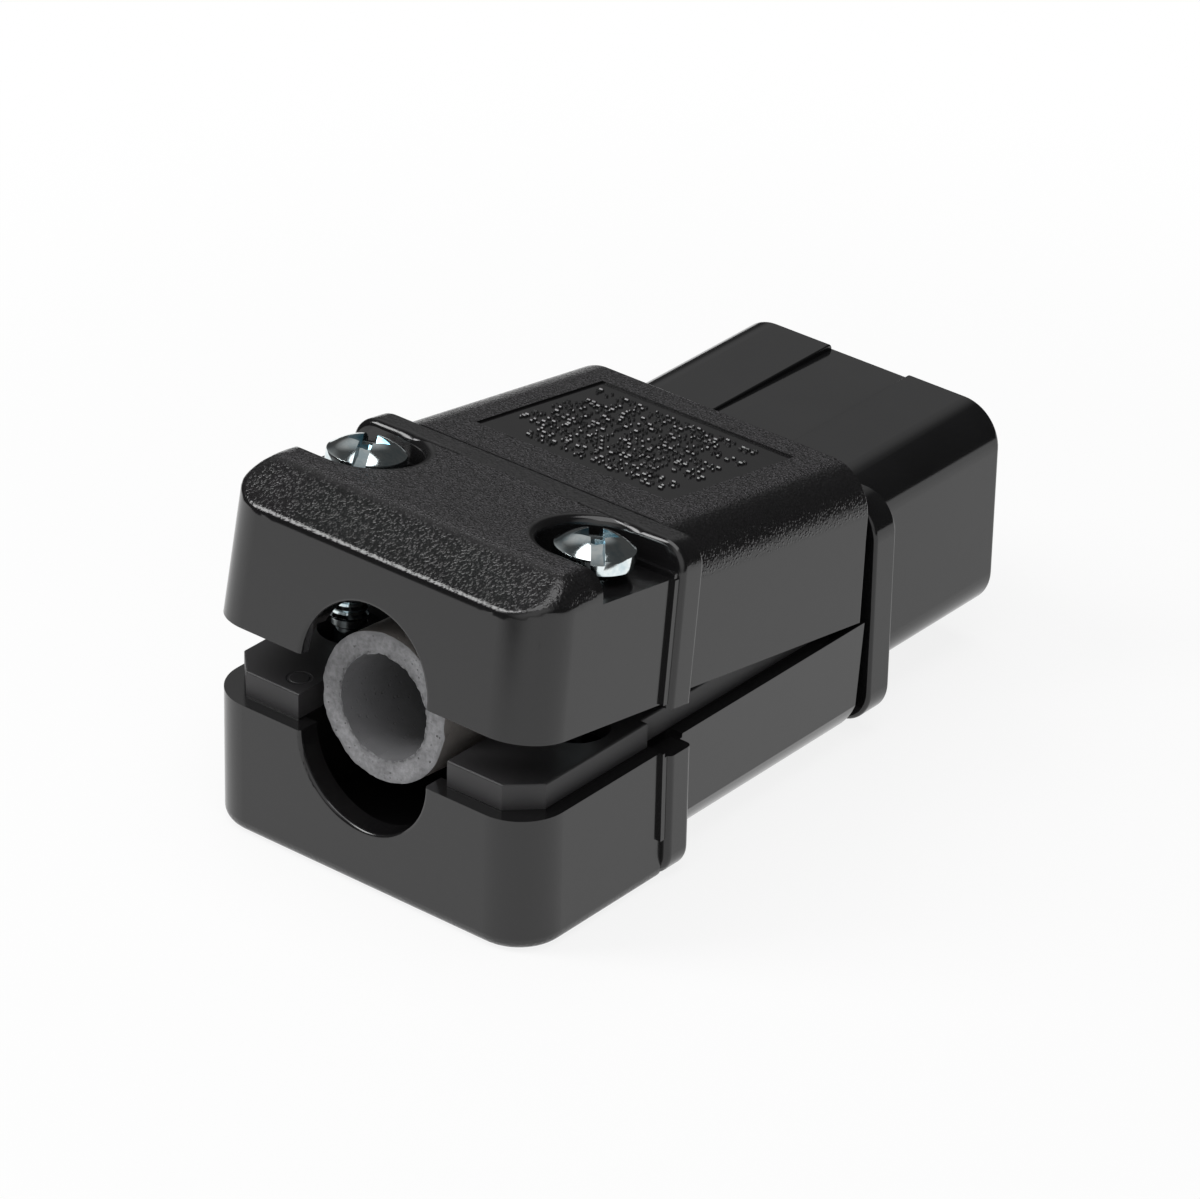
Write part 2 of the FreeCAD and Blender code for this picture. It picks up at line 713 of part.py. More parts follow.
def contact_carrier():
    """The moulded nose with its flange, and the collar that the shells close over."""
    carrier = Piece("contact_carrier")
    middle = "axis_height"
    top = f"{middle} + nose_height / 2"
    bottom = f"{middle} - nose_height / 2"
    flange = wide("front_width - 2 * flange_inset", f"{bottom} - flange_drop", f"{top} - flange_sink")
    carrier.add("end", FLANGE_FRONT, FLANGE_REAR, flange)
    carrier.round("flange_corner", lengthwise)
    carrier.round("flange_edge", lambda e: level(e, "y", FLANGE_FRONT) or level(e, "y", FLANGE_REAR))
    carrier.add("end", NOSE_FACE, FLANGE_REAR, *rounded("nose_width", bottom, top, "nose_corner"))
    carrier.round("nose_edge", lambda e: level(e, "y", NOSE_FACE))
    carrier.add("end", FLANGE_REAR, COLLAR_FRONT, around("0", middle, "neck_width", "neck_height"))
    carrier.add("end", COLLAR_FRONT, COLLAR_REAR, around("0", middle, "collar_width", "collar_height"))
    channel = [
        (FLANGE_FRONT, f"{top} - key_channel_near"),
        (f"{NOSE_FACE} + {PAST}", f"{top} - key_channel_far"),
        (f"{NOSE_FACE} + {PAST}", f"{top} + {PAST}"),
        (FLANGE_FRONT, f"{top} + {PAST}"),
    ]
    half = "key_channel_width / 2"
    carrier.cut("side", f"-{half}", half, channel)
    carrier.round("key_channel_edge", lambda e: level(e, "z", top) and near(abs(e.Center.x), half))
    for name, x, z, shift in contact_places():
        carrier.cut("end", f"{COLLAR_REAR} - {PAST}", f"{NOSE_FACE} - slot_depth",
                    around(x, z, "cavity_width", "cavity_height"))
        carrier.cut("end", f"{NOSE_FACE} - slot_depth - {PAST}", f"{NOSE_FACE} + {PAST}",
                    around(x, z, "slot_width", "slot_height"))
    return carrier


def back_plate():
    """The plate behind the collar that keeps the contacts in."""
    plate = Piece("back_plate")
    plate.add("end", COLLAR_REAR, PLATE_REAR, around("0", "axis_height", "collar_width", "collar_height"))
    for name, x, z, shift in contact_places():
        plate.cut("end", f"{PLATE_REAR} - {PAST}", f"{COLLAR_REAR} + {PAST}",
                  around(f"{x} + {shift}", z, "terminal_neck_width", "terminal_neck_height"))
    return plate


def contact(name, x, z, shift):
    """A brass socket with a pillar terminal behind the plate."""
    piece = Piece(f"{name}_contact")
    mouth = f"{NOSE_FACE} - slot_depth - contact_reach"
    tunnel_rear = f"{COLLAR_REAR} + contact_seat"
    stem = f"{x} + {shift}"
    piece.add("end", mouth, tunnel_rear, around(x, z, "contact_width", "contact_height"))
    piece.cut("end", f"{tunnel_rear} + contact_cheek", f"{mouth} + {PAST}",
              around(x, z, "contact_width - 2 * contact_cheek", "contact_slit"))
    neck = around(stem, z, "terminal_neck_width", "terminal_neck_height")
    piece.add("end", tunnel_rear, PLATE_REAR, neck)
    piece.add("end", PLATE_REAR, TERMINAL_REAR, around(stem, z, "terminal_width", "terminal_height"))
    wire_end = f"{PLATE_REAR} - wire_stop"
    piece.drill("end", f"{TERMINAL_REAR} - {PAST}", wire_end, [(stem, z)], "wire_bore / 2")
    piece.drill("top", f"{z} + terminal_height / 2 + {PAST}", z,
                [(stem, f"{TERMINAL_REAR} + terminal_length / 2")], "clamp_thread / 2")
    return piece


def terminal_screw(name, x, z, shift):
    """A cheese head screw that presses the wire from above."""
    screw = Piece(f"{name}_terminal_screw")
    screw.turn([
        ("0", "-terminal_height / 2 + clamp_reach"),
        ("clamp_thread / 2", "-terminal_height / 2 + clamp_reach"),
        ("clamp_thread / 2", "0"),
        ("clamp_head / 2", "0"),
        ("clamp_head / 2", "clamp_head_height"),
        ("0", "clamp_head_height"),
    ])
    slot = wide("screw_slot_width", "-clamp_head", "clamp_head")
    screw.cut("top", "clamp_head_height", "clamp_head_height / 2", slot)
    screw.place(f"{x} + {shift}", f"{TERMINAL_REAR} + terminal_length / 2", f"{z} + terminal_height / 2")
    return screw


def pressure_plate(name, x, z, shift):
    """The small plate between a terminal screw and the wire."""
    plate = Piece(f"{name}_pressure_plate")
    half = "pressure_plate_length / 2"
    plate.add("top", "0", "-pressure_plate_thickness", wide("pressure_plate_width", f"-{half}", half))
    plate.place(f"{x} + {shift}", f"{TERMINAL_REAR} + terminal_length / 2", f"{z} + clamp_reach")
    return plate


def cover_screw(label, side):
    """A pan head screw with a slotted cross recess and a pilot point, captive in the cover."""
    screw = Piece(label)
    dome = "(screw_head * screw_head / 4 + screw_head_dome * screw_head_dome) / (2 * screw_head_dome)"
    crown = "screw_head_side + screw_head_dome"
    screw.turn([
        ("0", "-screw_shank_length - screw_pilot_length"),
        ("screw_pilot / 2", "-screw_shank_length - screw_pilot_length"),
        ("screw_pilot / 2", "-screw_shank_length"),
        ("screw_shank / 2", "-screw_shank_length"),
        ("screw_shank / 2", "0"),
        ("screw_head / 2", "0"),
        ("screw_head / 2", "screw_head_side"),
        ("0", crown),
    ], {6: dome})
    groove = f"{crown} - screw_slot_depth"
    slot = wide("screw_slot_width", "-screw_head", "screw_head")
    cross = wide("screw_head / 2", "-screw_slot_width / 2", "screw_slot_width / 2")
    for recess in (slot, cross):
        screw.cut("top", crown, groove, turned(recess, "screw_turn"))
    screw.swing("cover_angle", f"{side}screw_spacing / 2", SCREW_PLACE, POCKET_FLOOR)
    return screw


def screw_nut(label, side):
    """The brass insert in a boss of the base that takes a cover screw."""
    nut = Piece(label)
    nut.add_discs("top", "0", "nut_length", [("0", "0")], "nut_outside / 2")
    nut.drill("top", "nut_length", f"-{PAST}", [("0", "0")], "nut_bore / 2")
    nut.place(f"{side}screw_spacing / 2", SCREW_PLACE, "nut_floor")
    return nut


def cable_bush():
    """The cut length of tube that lines the cable entry."""
    bush = Piece("cable_bush")
    bush.add_discs("end", "0", "bush_length", [("0", "0")], "bush_outside / 2")
    bush.drill("end", f"-{PAST}", f"bush_length + {PAST}", [("0", "0")], "bush_bore / 2")
    bush.swing("bush_angle", "0", f"{SHELL_REAR} + bush_setback", "parting_height")
    return bush


def grip_bar():
    """The bar that holds the cord down between its two posts."""
    bar = Piece("cord_grip_bar")
    low = "grip_seat"
    high = "grip_seat + grip_thickness"
    front = f"{GRIP_PLACE} + grip_length / 2"
    rear = f"{GRIP_PLACE} - grip_length / 2"
    bar.add("end", front, rear, wide("grip_width", low, high))
    arch = [("0", f"{low} - grip_arch / 2")]
    bar.drill("end", f"{rear} - {PAST}", f"{front} + {PAST}", arch, "grip_arch")
    bar.drill("top", high, f"{low} - {PAST}", GRIP_AXES, "grip_screw / 2")
    return bar


def grip_screw(label, side):
    """A pan head screw that draws the cord grip bar down."""
    screw = Piece(label)
    screw.turn([
        ("0", "-grip_screw_length"),
        ("grip_screw / 2", "-grip_screw_length"),
        ("grip_screw / 2", "0"),
        ("clamp_head / 2", "0"),
        ("clamp_head / 2", "clamp_head_height"),
        ("0", "clamp_head_height"),
    ])
    slot = wide("screw_slot_width", "-clamp_head", "clamp_head")
    screw.cut("top", "clamp_head_height", "clamp_head_height / 2", slot)
    screw.place(f"{side}grip_spacing / 2", GRIP_PLACE, "grip_seat + grip_thickness")
    return screw


cover = top_cover()
cover.swing("cover_angle")
pieces = [cover, base_shell(), contact_carrier(), back_plate(), cable_bush(), grip_bar()]
for place in contact_places():
    pieces += [contact(*place), terminal_screw(*place), pressure_plate(*place)]
for hand, side in (("right", ""), ("left", "-")):
    pieces += [
        cover_screw(f"cover_screw_{hand}", side),
        screw_nut(f"screw_nut_{hand}", side),
        grip_screw(f"grip_screw_{hand}", side),
    ]
doc.recompute()

for item in doc.Objects:
    if {"Invalid", "Error"} & set(item.State):
        raise ValueError(f"{item.Label} failed: {item.State}")
for piece in pieces:
    shape = piece.body.Shape
    if shape.isNull() or not shape.isValid():
        raise ValueError(f"{piece.body.Label} has no valid shape")

os.makedirs("parts", exist_ok=True)
for piece in pieces:
    piece.body.Shape.exportStep(f"parts/{piece.body.Label}.step")
    solids = len(piece.body.Shape.Solids)
    print(f"{piece.body.Label}: {solids} solid, {piece.body.Shape.Volume / 1000:.2f} cm3")
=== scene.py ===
"""Looks of a rewireable power connector: finishes for its moulded and metal parts, the cover
with its soft cable end, the detailed screws and cable bush, the raised marks of the panel,
and a plain studio."""

import bmesh
import bpy
import json
import math
import random
from mathutils import Matrix, Vector, noise


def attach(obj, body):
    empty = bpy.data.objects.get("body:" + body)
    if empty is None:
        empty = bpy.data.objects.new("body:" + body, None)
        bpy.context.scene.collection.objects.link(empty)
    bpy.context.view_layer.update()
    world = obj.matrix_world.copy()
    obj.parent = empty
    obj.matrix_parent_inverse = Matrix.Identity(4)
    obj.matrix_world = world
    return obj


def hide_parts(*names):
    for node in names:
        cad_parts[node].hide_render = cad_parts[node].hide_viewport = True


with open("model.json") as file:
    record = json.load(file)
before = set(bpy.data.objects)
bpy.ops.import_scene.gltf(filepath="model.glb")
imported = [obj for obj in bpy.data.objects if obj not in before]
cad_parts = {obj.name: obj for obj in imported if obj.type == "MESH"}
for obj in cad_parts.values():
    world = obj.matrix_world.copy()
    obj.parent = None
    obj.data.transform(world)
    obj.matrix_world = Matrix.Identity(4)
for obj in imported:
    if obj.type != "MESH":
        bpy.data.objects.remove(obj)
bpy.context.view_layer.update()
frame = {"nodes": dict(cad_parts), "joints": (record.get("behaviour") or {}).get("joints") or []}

bl_info = {
    "name": "Power connector",
    "version": (1, 0, 0),
    "blender": (4, 5, 0),
    "location": "View3D > Sidebar > Connector",
    "description": "Finishes and fine pieces of a rewireable power connector",
    "category": "Object",
}

MM = 0.001


def lift_of(name):
    """The turn that takes a closed piece to its lifted place at rest."""
    joint = next(joint for joint in frame["joints"] if joint["name"] == name)
    hinge = Matrix.Translation(Vector(joint["pos_m"]))
    turn = Matrix.Rotation(-math.radians(joint["range_deg"][1]), 4, "X")
    return hinge @ turn @ hinge.inverted()


COVER_LIFT = lift_of("cover_hinge")
BUSH_LIFT = lift_of("bush_hinge")

# Places on the closed connector, in metres
SHELL_TOP = 27.1 * MM
PARTING = 12.8 * MM
SHELL_REAR = -34.9 * MM
SLOPE_TOP = -30.0 * MM
SLOPE_LOW = 24.1 * MM
REAR_HALF = 18.2 * MM
REAR_LEAN = 0.6 * MM
REAR_CORNER = 4.6 * MM
REAR_SHOULDER = 2.6 * MM
END_FRONT = -27.8 * MM
END_BOTTOM = 21.0 * MM
BAND_REAR = -17.0 * MM
BAND_FRONT = -14.0 * MM
PANEL_REAR = -9.7 * MM
PANEL_FRONT = 7.8 * MM
PANEL_HALF = 10.75 * MM
PANEL_CUT = 26.6 * MM
PANEL_FLOOR = 26.92 * MM
POCKET_FLOOR = 24.2 * MM
POCKET_RIM = 5.7 * MM
SCREW_X = 12.6 * MM
SCREW_Y = -21.9 * MM
BUSH_REAR = -32.1 * MM
RING_X = -10.1 * MM
RING_Y = -31.4 * MM
RING_RADIUS = 1.0 * MM

# The cover's softened cable end
CREASE = 0.34 * MM
CREASE_BLEND = 0.55 * MM
SOFT_REACH = 1.2 * MM
SKIN_WELD = 0.06 * MM
SLIVER = 0.1 * MM * MM
WELD = 1e-7

# The cover screws below and above their seats
SCREW_SIDE = 1.5 * MM
SCREW_DOME = 1.2 * MM
SCREW_BROW = 0.25 * MM
SCREW_EDGE = 0.12 * MM
SCREW_SHANK = 3.5 * MM
SCREW_LENGTH = 14.5 * MM
SCREW_PILOT = 2.4 * MM
PILOT_LENGTH = 2.2 * MM
SLOT_WIDTH = 1.2 * MM
SLOT_BEND = 8.5 * MM
RECESS_DEPTH = 1.4 * MM
RECESS_TIP = 0.5 * MM
RECESS_WIDE = 4.4 * MM
RECESS_NARROWING = 0.6
THREAD_STEPS = 20

# The cable bush
BUSH_BORE = 4.7 * MM
BUSH_WALL = 6.75 * MM
BUSH_LENGTH = 17 * MM
TEAR_SIZE = 0.8 * MM

# The panel's marks: where rows start and stop, and the bars that follow each other in a row
ROW_STARTS = (0, 0, 0, 1, 3)
ROW_STOPS = (0, 0, 1, 2, 4)
BAR_HEIGHTS = ((-0.26, 0.26), (-0.28, 0, 0.28), (-0.1, 0.28), (-0.28, 0.1))
BAR_LENGTHS = (0.3, 0.42, 0.55)
BAR_GAPS = (0.62, 0.66, 0.72, 1.15)
BAR_STRAY = 0.12
BAR_TURN = 0.1

# Sizes of the patterns in the finishes, and the depths of their relief
PEBBLE_SIZE = 0.29 * MM
PEBBLE_BEND = 0.35 * MM
CRUMB_SIZE = 0.17 * MM
SPECK_SIZE = 0.16 * MM
DOT_SIZE = 0.15 * MM
WAVE_SIZE = 5 * MM
GRAIN_DEPTH = 0.024 * MM
WAVE_DEPTH = 0.012 * MM
RING_DEPTH = 0.1 * MM
FLOW_SIZE = 7 * MM
FLOW_DEPTH = 0.01 * MM
TORN_SIZE = 0.5 * MM
TORN_DEPTH = 0.12 * MM
BLOTCH_SIZE = 1.9 * MM
STREAK_SIZE = 1.6 * MM
CLOUD_SIZE = 1.5 * MM
SCRATCH_SIZE = 0.22 * MM
SCRATCH_DEPTH = 0.002 * MM

# The studio: half the floor, where its shadow ends, the lights and the camera
FLOOR_HALF = 0.17
SHADOW_FADE = (0.07, 0.15)
SHADOW_SHARE = 0.15
SOFT_WALL = (-0.55, 0.60, 0.58)
FRONT_WALL = (0.547, -0.679, 0.490)
LAMPS = (
    ("overhead", (0.0, -0.05, 1.0), (0.80, 0.80), 4.4),
    ("key", (-0.55, -0.45, 0.70), (0.28, 0.55), 3.9),
)
LAMP_AIM = (0, 0, 0.015)
LAMP_AWAY = 0.9
CAMERA_PLACE = (0.30396, -0.38120, 0.28719)
CAMERA_TURN = (60.681, -1.173, 39.481)
CAMERA_LENS = 191.4
CAMERA_SENSOR = 36


class Field:
    """A value on a surface; sums and products of values add Math nodes."""

    def __init__(self, finish, socket):
        self.finish = finish
        self.socket = socket

    def math(self, operation, first, second):
        inlets = {0: first, 1: second}
        return self.finish.node("ShaderNodeMath", {"operation": operation}, inlets)

    def __add__(self, other):
        return self.math("ADD", self, other)

    def __sub__(self, other):
        return self.math("SUBTRACT", self, other)

    def __rsub__(self, other):
        return self.math("SUBTRACT", other, self)

    def __mul__(self, other):
        return self.math("MULTIPLY", self, other)

    def __truediv__(self, other):
        return self.math("DIVIDE", self, other)

    def __abs__(self):
        return self.math("ABSOLUTE", self, 0.0)

    __radd__ = __add__
    __rmul__ = __mul__

    def larger(self, other):
        return self.math("MAXIMUM", self, other)

    def smaller(self, other):
        return self.math("MINIMUM", self, other)

    def root(self):
        return self.math("SQRT", self, 0.0)

    def rise(self, start, stop):
        """0 before start, 1 after stop, smooth between."""
        settings = {"interpolation_type": "SMOOTHSTEP"}
        inlets = {"Value": self, "From Min": start, "From Max": stop, "To Min": 0.0, "To Max": 1.0}
        return self.finish.node("ShaderNodeMapRange", settings, inlets)

    def fall(self, start, stop):
        """1 before start, 0 after stop, smooth between."""
        return 1 - self.rise(start, stop)


class Finish:
    """A material or world in the making: its nodes, and the values that run between them."""

    def __init__(self, owner):
        owner.use_nodes = True
        self.owner = owner
        self.tree = owner.node_tree
        self.tree.nodes.clear()

    def node(self, kind, settings=None, inlets=None, outlet=0):
        """Adds a node, and gives its outlet, or a list where several are named."""
        made = self.tree.nodes.new(kind)
        for name, setting in (settings or {}).items():
            setattr(made, name, setting)
        for name, value in (inlets or {}).items():
            if isinstance(value, Field):
                self.tree.links.new(value.socket, made.inputs[name])
            else:
                made.inputs[name].default_value = value
        if isinstance(outlet, tuple):
            return [Field(self, made.outputs[name]) for name in outlet]
        return Field(self, made.outputs[outlet]) if made.outputs else None

    def place(self, lift=None):
        """Object coordinates, turned back to the closed connector where a lift is given."""
        raw = self.node("ShaderNodeTexCoord", outlet="Object")
        if lift is None:
            return raw
        back = lift.inverted()
        inlets = {"Vector": raw, "Location": back.to_translation(), "Rotation": back.to_euler()}
        return self.node("ShaderNodeMapping", {"vector_type": "POINT"}, inlets)

    def facing(self, lift=None):
        """The surface normal in object space, turned back like the place."""
        raw = self.node("ShaderNodeTexCoord", outlet="Normal")
        if lift is None:
            return raw
        inlets = {"Vector": raw, "Rotation": lift.inverted().to_euler()}
        return self.node("ShaderNodeMapping", {"vector_type": "VECTOR"}, inlets)

    def parts(self, vector):
        """The three numbers of a vector."""
        return self.node("ShaderNodeSeparateXYZ", None, {0: vector}, ("X", "Y", "Z"))

    def noise(self, place, size, detail=2.0, roughness=0.5, distortion=0.0):
        inlets = {"Vector": place, "Scale": 1 / size, "Detail": detail, "Roughness": roughness,
                  "Distortion": distortion}
        return self.node("ShaderNodeTexNoise", None, inlets)

    def cells(self, place, size):
        """The distance to the nearest of scattered points, in cell sizes."""
        return self.node("ShaderNodeTexVoronoi", None, {"Vector": place, "Scale": 1 / size})

    def warp(self, place, size, reach):
        """The place, shifted by a noise so that straight patterns bend."""
        inlets = {"Vector": place, "Scale": 1 / size, "Detail": 1.0}
        shift = self.node("ShaderNodeTexNoise", None, inlets, "Color")
        inlets = {0: shift, 1: Vector((reach, reach, reach)), 2: place}
        return self.node("ShaderNodeVectorMath", {"operation": "MULTIPLY_ADD"}, inlets)

    def mix(self, share, first, second):
        """A colour between two, by a share from 0 to 1, through a Mix node's colour sockets."""
        inlets = {0: share, 6: first, 7: second}
        return self.node("ShaderNodeMix", {"data_type": "RGBA"}, inlets, 2)

    def bump(self, height, depth, base=None):
        """A normal from a height of 0 to 1, with the depth in metres."""
        inlets = {"Height": height, "Distance": depth, "Strength": 1.0}
        if base is not None:
            inlets["Normal"] = base
        return self.node("ShaderNodeBump", None, inlets)

    def surface(self, inlets):
        """Ends a material in one shader."""
        shader = self.node("ShaderNodeBsdfPrincipled", None, inlets)
        self.node("ShaderNodeOutputMaterial", None, {"Surface": shader})
        return self.owner


def new_finish(name):
    return Finish(bpy.data.materials.new(name))


def tinted(colour, times=1.0, plus=0.0):
    """A colour made lighter or darker, with full alpha."""
    return (*(min(1.0, part * times + plus) for part in colour), 1.0)


def distance(aside, along):
    """The length of two offsets at right angles."""
    return (aside * aside + along * along).root()


def past_slope(y, z):
    """How far a place lies outside the slope of the cable end, for numbers and values alike."""
    run, drop = SLOPE_TOP - SHELL_REAR, SHELL_TOP - SLOPE_LOW
    return ((SLOPE_TOP - y) * drop + (z - SHELL_TOP) * run) / math.hypot(run, drop)


def shell_finish(name, colour, grained, lift=None, mark=None, dull_and_painted_light=None):
    """Black moulded plastic, glossy on plain walls and grained where the mask says."""
    finish = new_finish(name)
    place = finish.place(lift)
    x, y, z = finish.parts(place)
    nz = finish.parts(finish.facing(lift))[2]
    grain = grained(x, y, z, nz)
    level = nz.rise(0.93, 0.99)
    pebbles = finish.cells(finish.warp(place, 0.4 * MM, PEBBLE_BEND), PEBBLE_SIZE).rise(0.08, 0.62)
    crumbs = finish.noise(place, CRUMB_SIZE, roughness=0.55)
    waves = finish.noise(place, WAVE_SIZE)
    specks = finish.noise(place, SPECK_SIZE, detail=3.0, roughness=0.6)
    dots = finish.noise(place, DOT_SIZE, detail=1.0).rise(0.42, 0.62)
    rubble = crumbs * (0.5 + level * 2) - pebbles * (1 + level)
    relief = finish.bump(rubble * grain, GRAIN_DEPTH)
    relief = finish.bump(waves, WAVE_DEPTH, relief)
    if mark is not None:
        relief = finish.bump(mark(x, y, z, nz), RING_DEPTH, relief)
    tone = (waves * 0.35 + specks * 0.45 + 0.1).smaller(1.0)
    tint = finish.mix(tone, tinted(colour), tinted(colour, 1.6, 0.001))
    tint = finish.mix(grain * dots * (0.15 + level * 0.85), tint, tinted(colour, 10))
    rough = 0.11 + specks * 0.05 + waves * 0.04 + grain * (0.02 + crumbs * 0.06)
    # Where the mask says: more roughness for a dull finish, and a lighter colour that is painted
    # light.
    if dull_and_painted_light is not None:
        rough = rough + dull_and_painted_light(z) * 0.35
        tint = finish.mix(dull_and_painted_light(z), tint, tinted(colour, 5))
    return finish.surface({"Base Color": tint, "Roughness": rough, "Normal": relief, "IOR": 1.57})


def cover_grain(x, y, z, nz):
    """Grain on the cover's top and its shoulders, not on the walls, pockets or panel."""
    hair = 0.05 * MM
    front = y.rise(BAND_FRONT - 0.2 * MM, BAND_FRONT)
    before_rear = y.rise(SHELL_REAR + 1 * MM, SLOPE_TOP + 1 * MM)
    depth = before_rear * (2.0 * MM) + 0.12 * MM + front * (2.2 * MM)
    high = ((z - SHELL_TOP).larger(past_slope(y, z)) + depth).rise(-0.1 * MM, 0.2 * MM)
    upward = nz.rise(0.02, 0.12)
    panel_x = abs(x).fall(PANEL_HALF - hair, PANEL_HALF + hair)
    panel_y = y.rise(PANEL_REAR - hair, PANEL_REAR) * y.fall(PANEL_FRONT, PANEL_FRONT + hair)
    inward = (SCREW_X - abs(x)).larger(0.0)
    around = distance(inward, y - SCREW_Y).rise(POCKET_RIM - 0.1 * MM, POCKET_RIM + 0.3 * MM)
    band = y.rise(BAND_REAR - 0.1 * MM, BAND_REAR + 0.2 * MM) - front
    return high * upward * (1 - panel_x * panel_y) * around * (1 - band.larger(0.0) * 0.6)


def base_grain(x, y, z, nz):
    """Grain on the underside and its rounded edge."""
    return z.fall(1.0 * MM, 1.25 * MM) * nz.fall(0.0, 0.3)


def tongue_only(z):
    """The tongue above the parting line. It is rougher, for its dull moulded finish, and its
    colour is five times lighter, which is painted light on the tongue in the shade under the
    cover.
    """
    return z.rise(PARTING + 0.05 * MM, PARTING + 0.15 * MM)


def ejector_ring(x, y, z, nz):
    """The faint ring that an ejector pin leaves on top of the tongue."""
    ring = abs(distance(x - RING_X, y - RING_Y) - RING_RADIUS).fall(0.05 * MM, 0.2 * MM)
    return 1 - ring * z.rise(PARTING + 1.5 * MM, PARTING + 1.8 * MM) * nz.rise(0.6, 0.9)


def gloss_finish(name, colour):
    """Smooth glossy moulding with faint flow marks."""
    finish = new_finish(name)
    place = finish.place()
    flow = finish.noise(place, FLOW_SIZE, detail=3.0, distortion=0.4)
    specks = finish.noise(place, 0.2 * MM, detail=3.0, roughness=0.6)
    tint = finish.mix(flow, tinted(colour), tinted(colour, 1.6, 0.003))
    rough = 0.09 + specks * 0.04 + flow * 0.04
    relief = finish.bump(flow, FLOW_DEPTH)
    return finish.surface({"Base Color": tint, "Roughness": rough, "Normal": relief, "IOR": 1.52})


def bush_finish(name, wall, bore, cut):
    """Dull rubber: brownish outside, grey in the bore, pale and torn where it is cut."""
    finish = new_finish(name)
    place = finish.place(BUSH_LIFT)
    x, _, z = finish.parts(place)
    ends = abs(finish.parts(finish.facing(BUSH_LIFT))[1]).rise(0.45, 0.75)
    away = distance(x, z - PARTING)
    inside = away.fall(BUSH_BORE + 0.3 * MM, BUSH_BORE + 0.5 * MM)
    torn = finish.noise(place, TORN_SIZE, detail=4.0, roughness=0.65)
    blotches = finish.noise(place, BLOTCH_SIZE)
    pits = finish.cells(place, TORN_SIZE).fall(0.12, 0.3) * torn.rise(0.45, 0.6)
    streaks = finish.noise(place, STREAK_SIZE, detail=3.0)
    pale = torn.rise(0.3, 0.7) * 0.6 + blotches.rise(0.35, 0.65) * 0.4
    inner_rim = away.fall(BUSH_BORE + 0.1 * MM, BUSH_BORE + 0.5 * MM)
    outer_rim = away.rise(BUSH_WALL - 0.45 * MM, BUSH_WALL + 0.05 * MM)
    burrs = (inner_rim + outer_rim * 0.6) * torn.rise(0.42, 0.58)
    face = finish.mix(pale, tinted(cut, 0.5), tinted(cut))
    face = finish.mix(pits.larger(burrs * 0.8), face, tinted(cut, 0.2))
    outer = finish.mix(streaks, tinted(wall), tinted(wall, 1.6))
    inner = finish.mix(streaks, tinted(bore), tinted(bore, 1.3))
    tint = finish.mix(ends, finish.mix(inside, outer, inner), face)
    relief = finish.bump(torn * (0.2 + ends * 0.8) - pits * 0.5, TORN_DEPTH)
    rough = 0.5 + ends * 0.3
    return finish.surface({"Base Color": tint, "Roughness": rough, "Normal": relief, "IOR": 1.5})


def metal_finish(name, colour, cloud, rough):
    """Plated or plain metal with cloudy tones and fine scratches."""
    finish = new_finish(name)
    place = finish.place()
    clouds = finish.noise(place, CLOUD_SIZE, detail=3.0, roughness=0.55)
    scratches = finish.noise(place, SCRATCH_SIZE, detail=4.0, roughness=0.7, distortion=1.2)
    tint = finish.mix(clouds.rise(0.35, 0.7), tinted(colour), tinted(cloud))
    polish = rough + clouds * 0.04 + scratches * 0.04
    relief = finish.bump(scratches, SCRATCH_DEPTH)
    inlets = {"Base Color": tint, "Roughness": polish, "Normal": relief, "Metallic": 1.0}
    return finish.surface(inlets)


def dress(node, finish):
    """Gives a CAD node a finish."""
    for slot in frame["nodes"][node].material_slots:
        slot.material = finish


def scene_object(shape, name):
    """Turns a finished bmesh into an object of the scene."""
    mesh = bpy.data.meshes.new(name)
    shape.to_mesh(mesh)
    shape.free()
    made = bpy.data.objects.new(name, mesh)
    bpy.context.scene.collection.objects.link(made)
    return made


def piece_from(shape, name, finish, body, nodes=()):
    """Turns a finished bmesh into a piece that rides on a body."""
    piece = scene_object(shape, name)
    piece.data.materials.append(finish)
    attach(piece, body)
    if nodes:
        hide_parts(*nodes)
    return piece


def smooth_by_angle(shape, degrees):
    """Smooth faces, with edges sharper than the angle kept sharp."""
    limit = math.radians(degrees)
    for face in shape.faces:
        face.smooth = True
    for edge in shape.edges:
        edge.smooth = len(edge.link_faces) == 2 and edge.calc_face_angle(0.0) < limit


def lathe(profile, steps):
    """A closed round solid from a profile of radius and height."""
    shape = bmesh.new()
    points = [shape.verts.new((radius, 0, height)) for radius, height in profile]
    lines = [shape.edges.new(pair) for pair in zip(points, points[1:])]
    bmesh.ops.spin(shape, geom=points + lines, cent=(0, 0, 0), axis=(0, 0, 1),
                   angle=math.tau, steps=steps, use_merge=True, use_duplicate=False)
    bmesh.ops.remove_doubles(shape, verts=shape.verts, dist=WELD)
    bmesh.ops.recalc_face_normals(shape, faces=shape.faces)
    return shape


def carve(shape, cutters):
    """Takes the cutters out of a shape."""
    target = scene_object(shape, "carved")
    tools = [scene_object(cutter, "cutter") for cutter in cutters]
    for tool in tools:
        step = target.modifiers.new("cut", "BOOLEAN")
        step.operation = "DIFFERENCE"
        step.solver = "EXACT"
        step.object = tool
    bpy.context.view_layer.update()
    depsgraph = bpy.context.evaluated_depsgraph_get()
    made = bpy.data.meshes.new_from_object(target.evaluated_get(depsgraph))
    result = bmesh.new()
    result.from_mesh(made)
    for item in (target, *tools):
        bpy.data.objects.remove(item)
    bpy.data.meshes.remove(made)
    return result


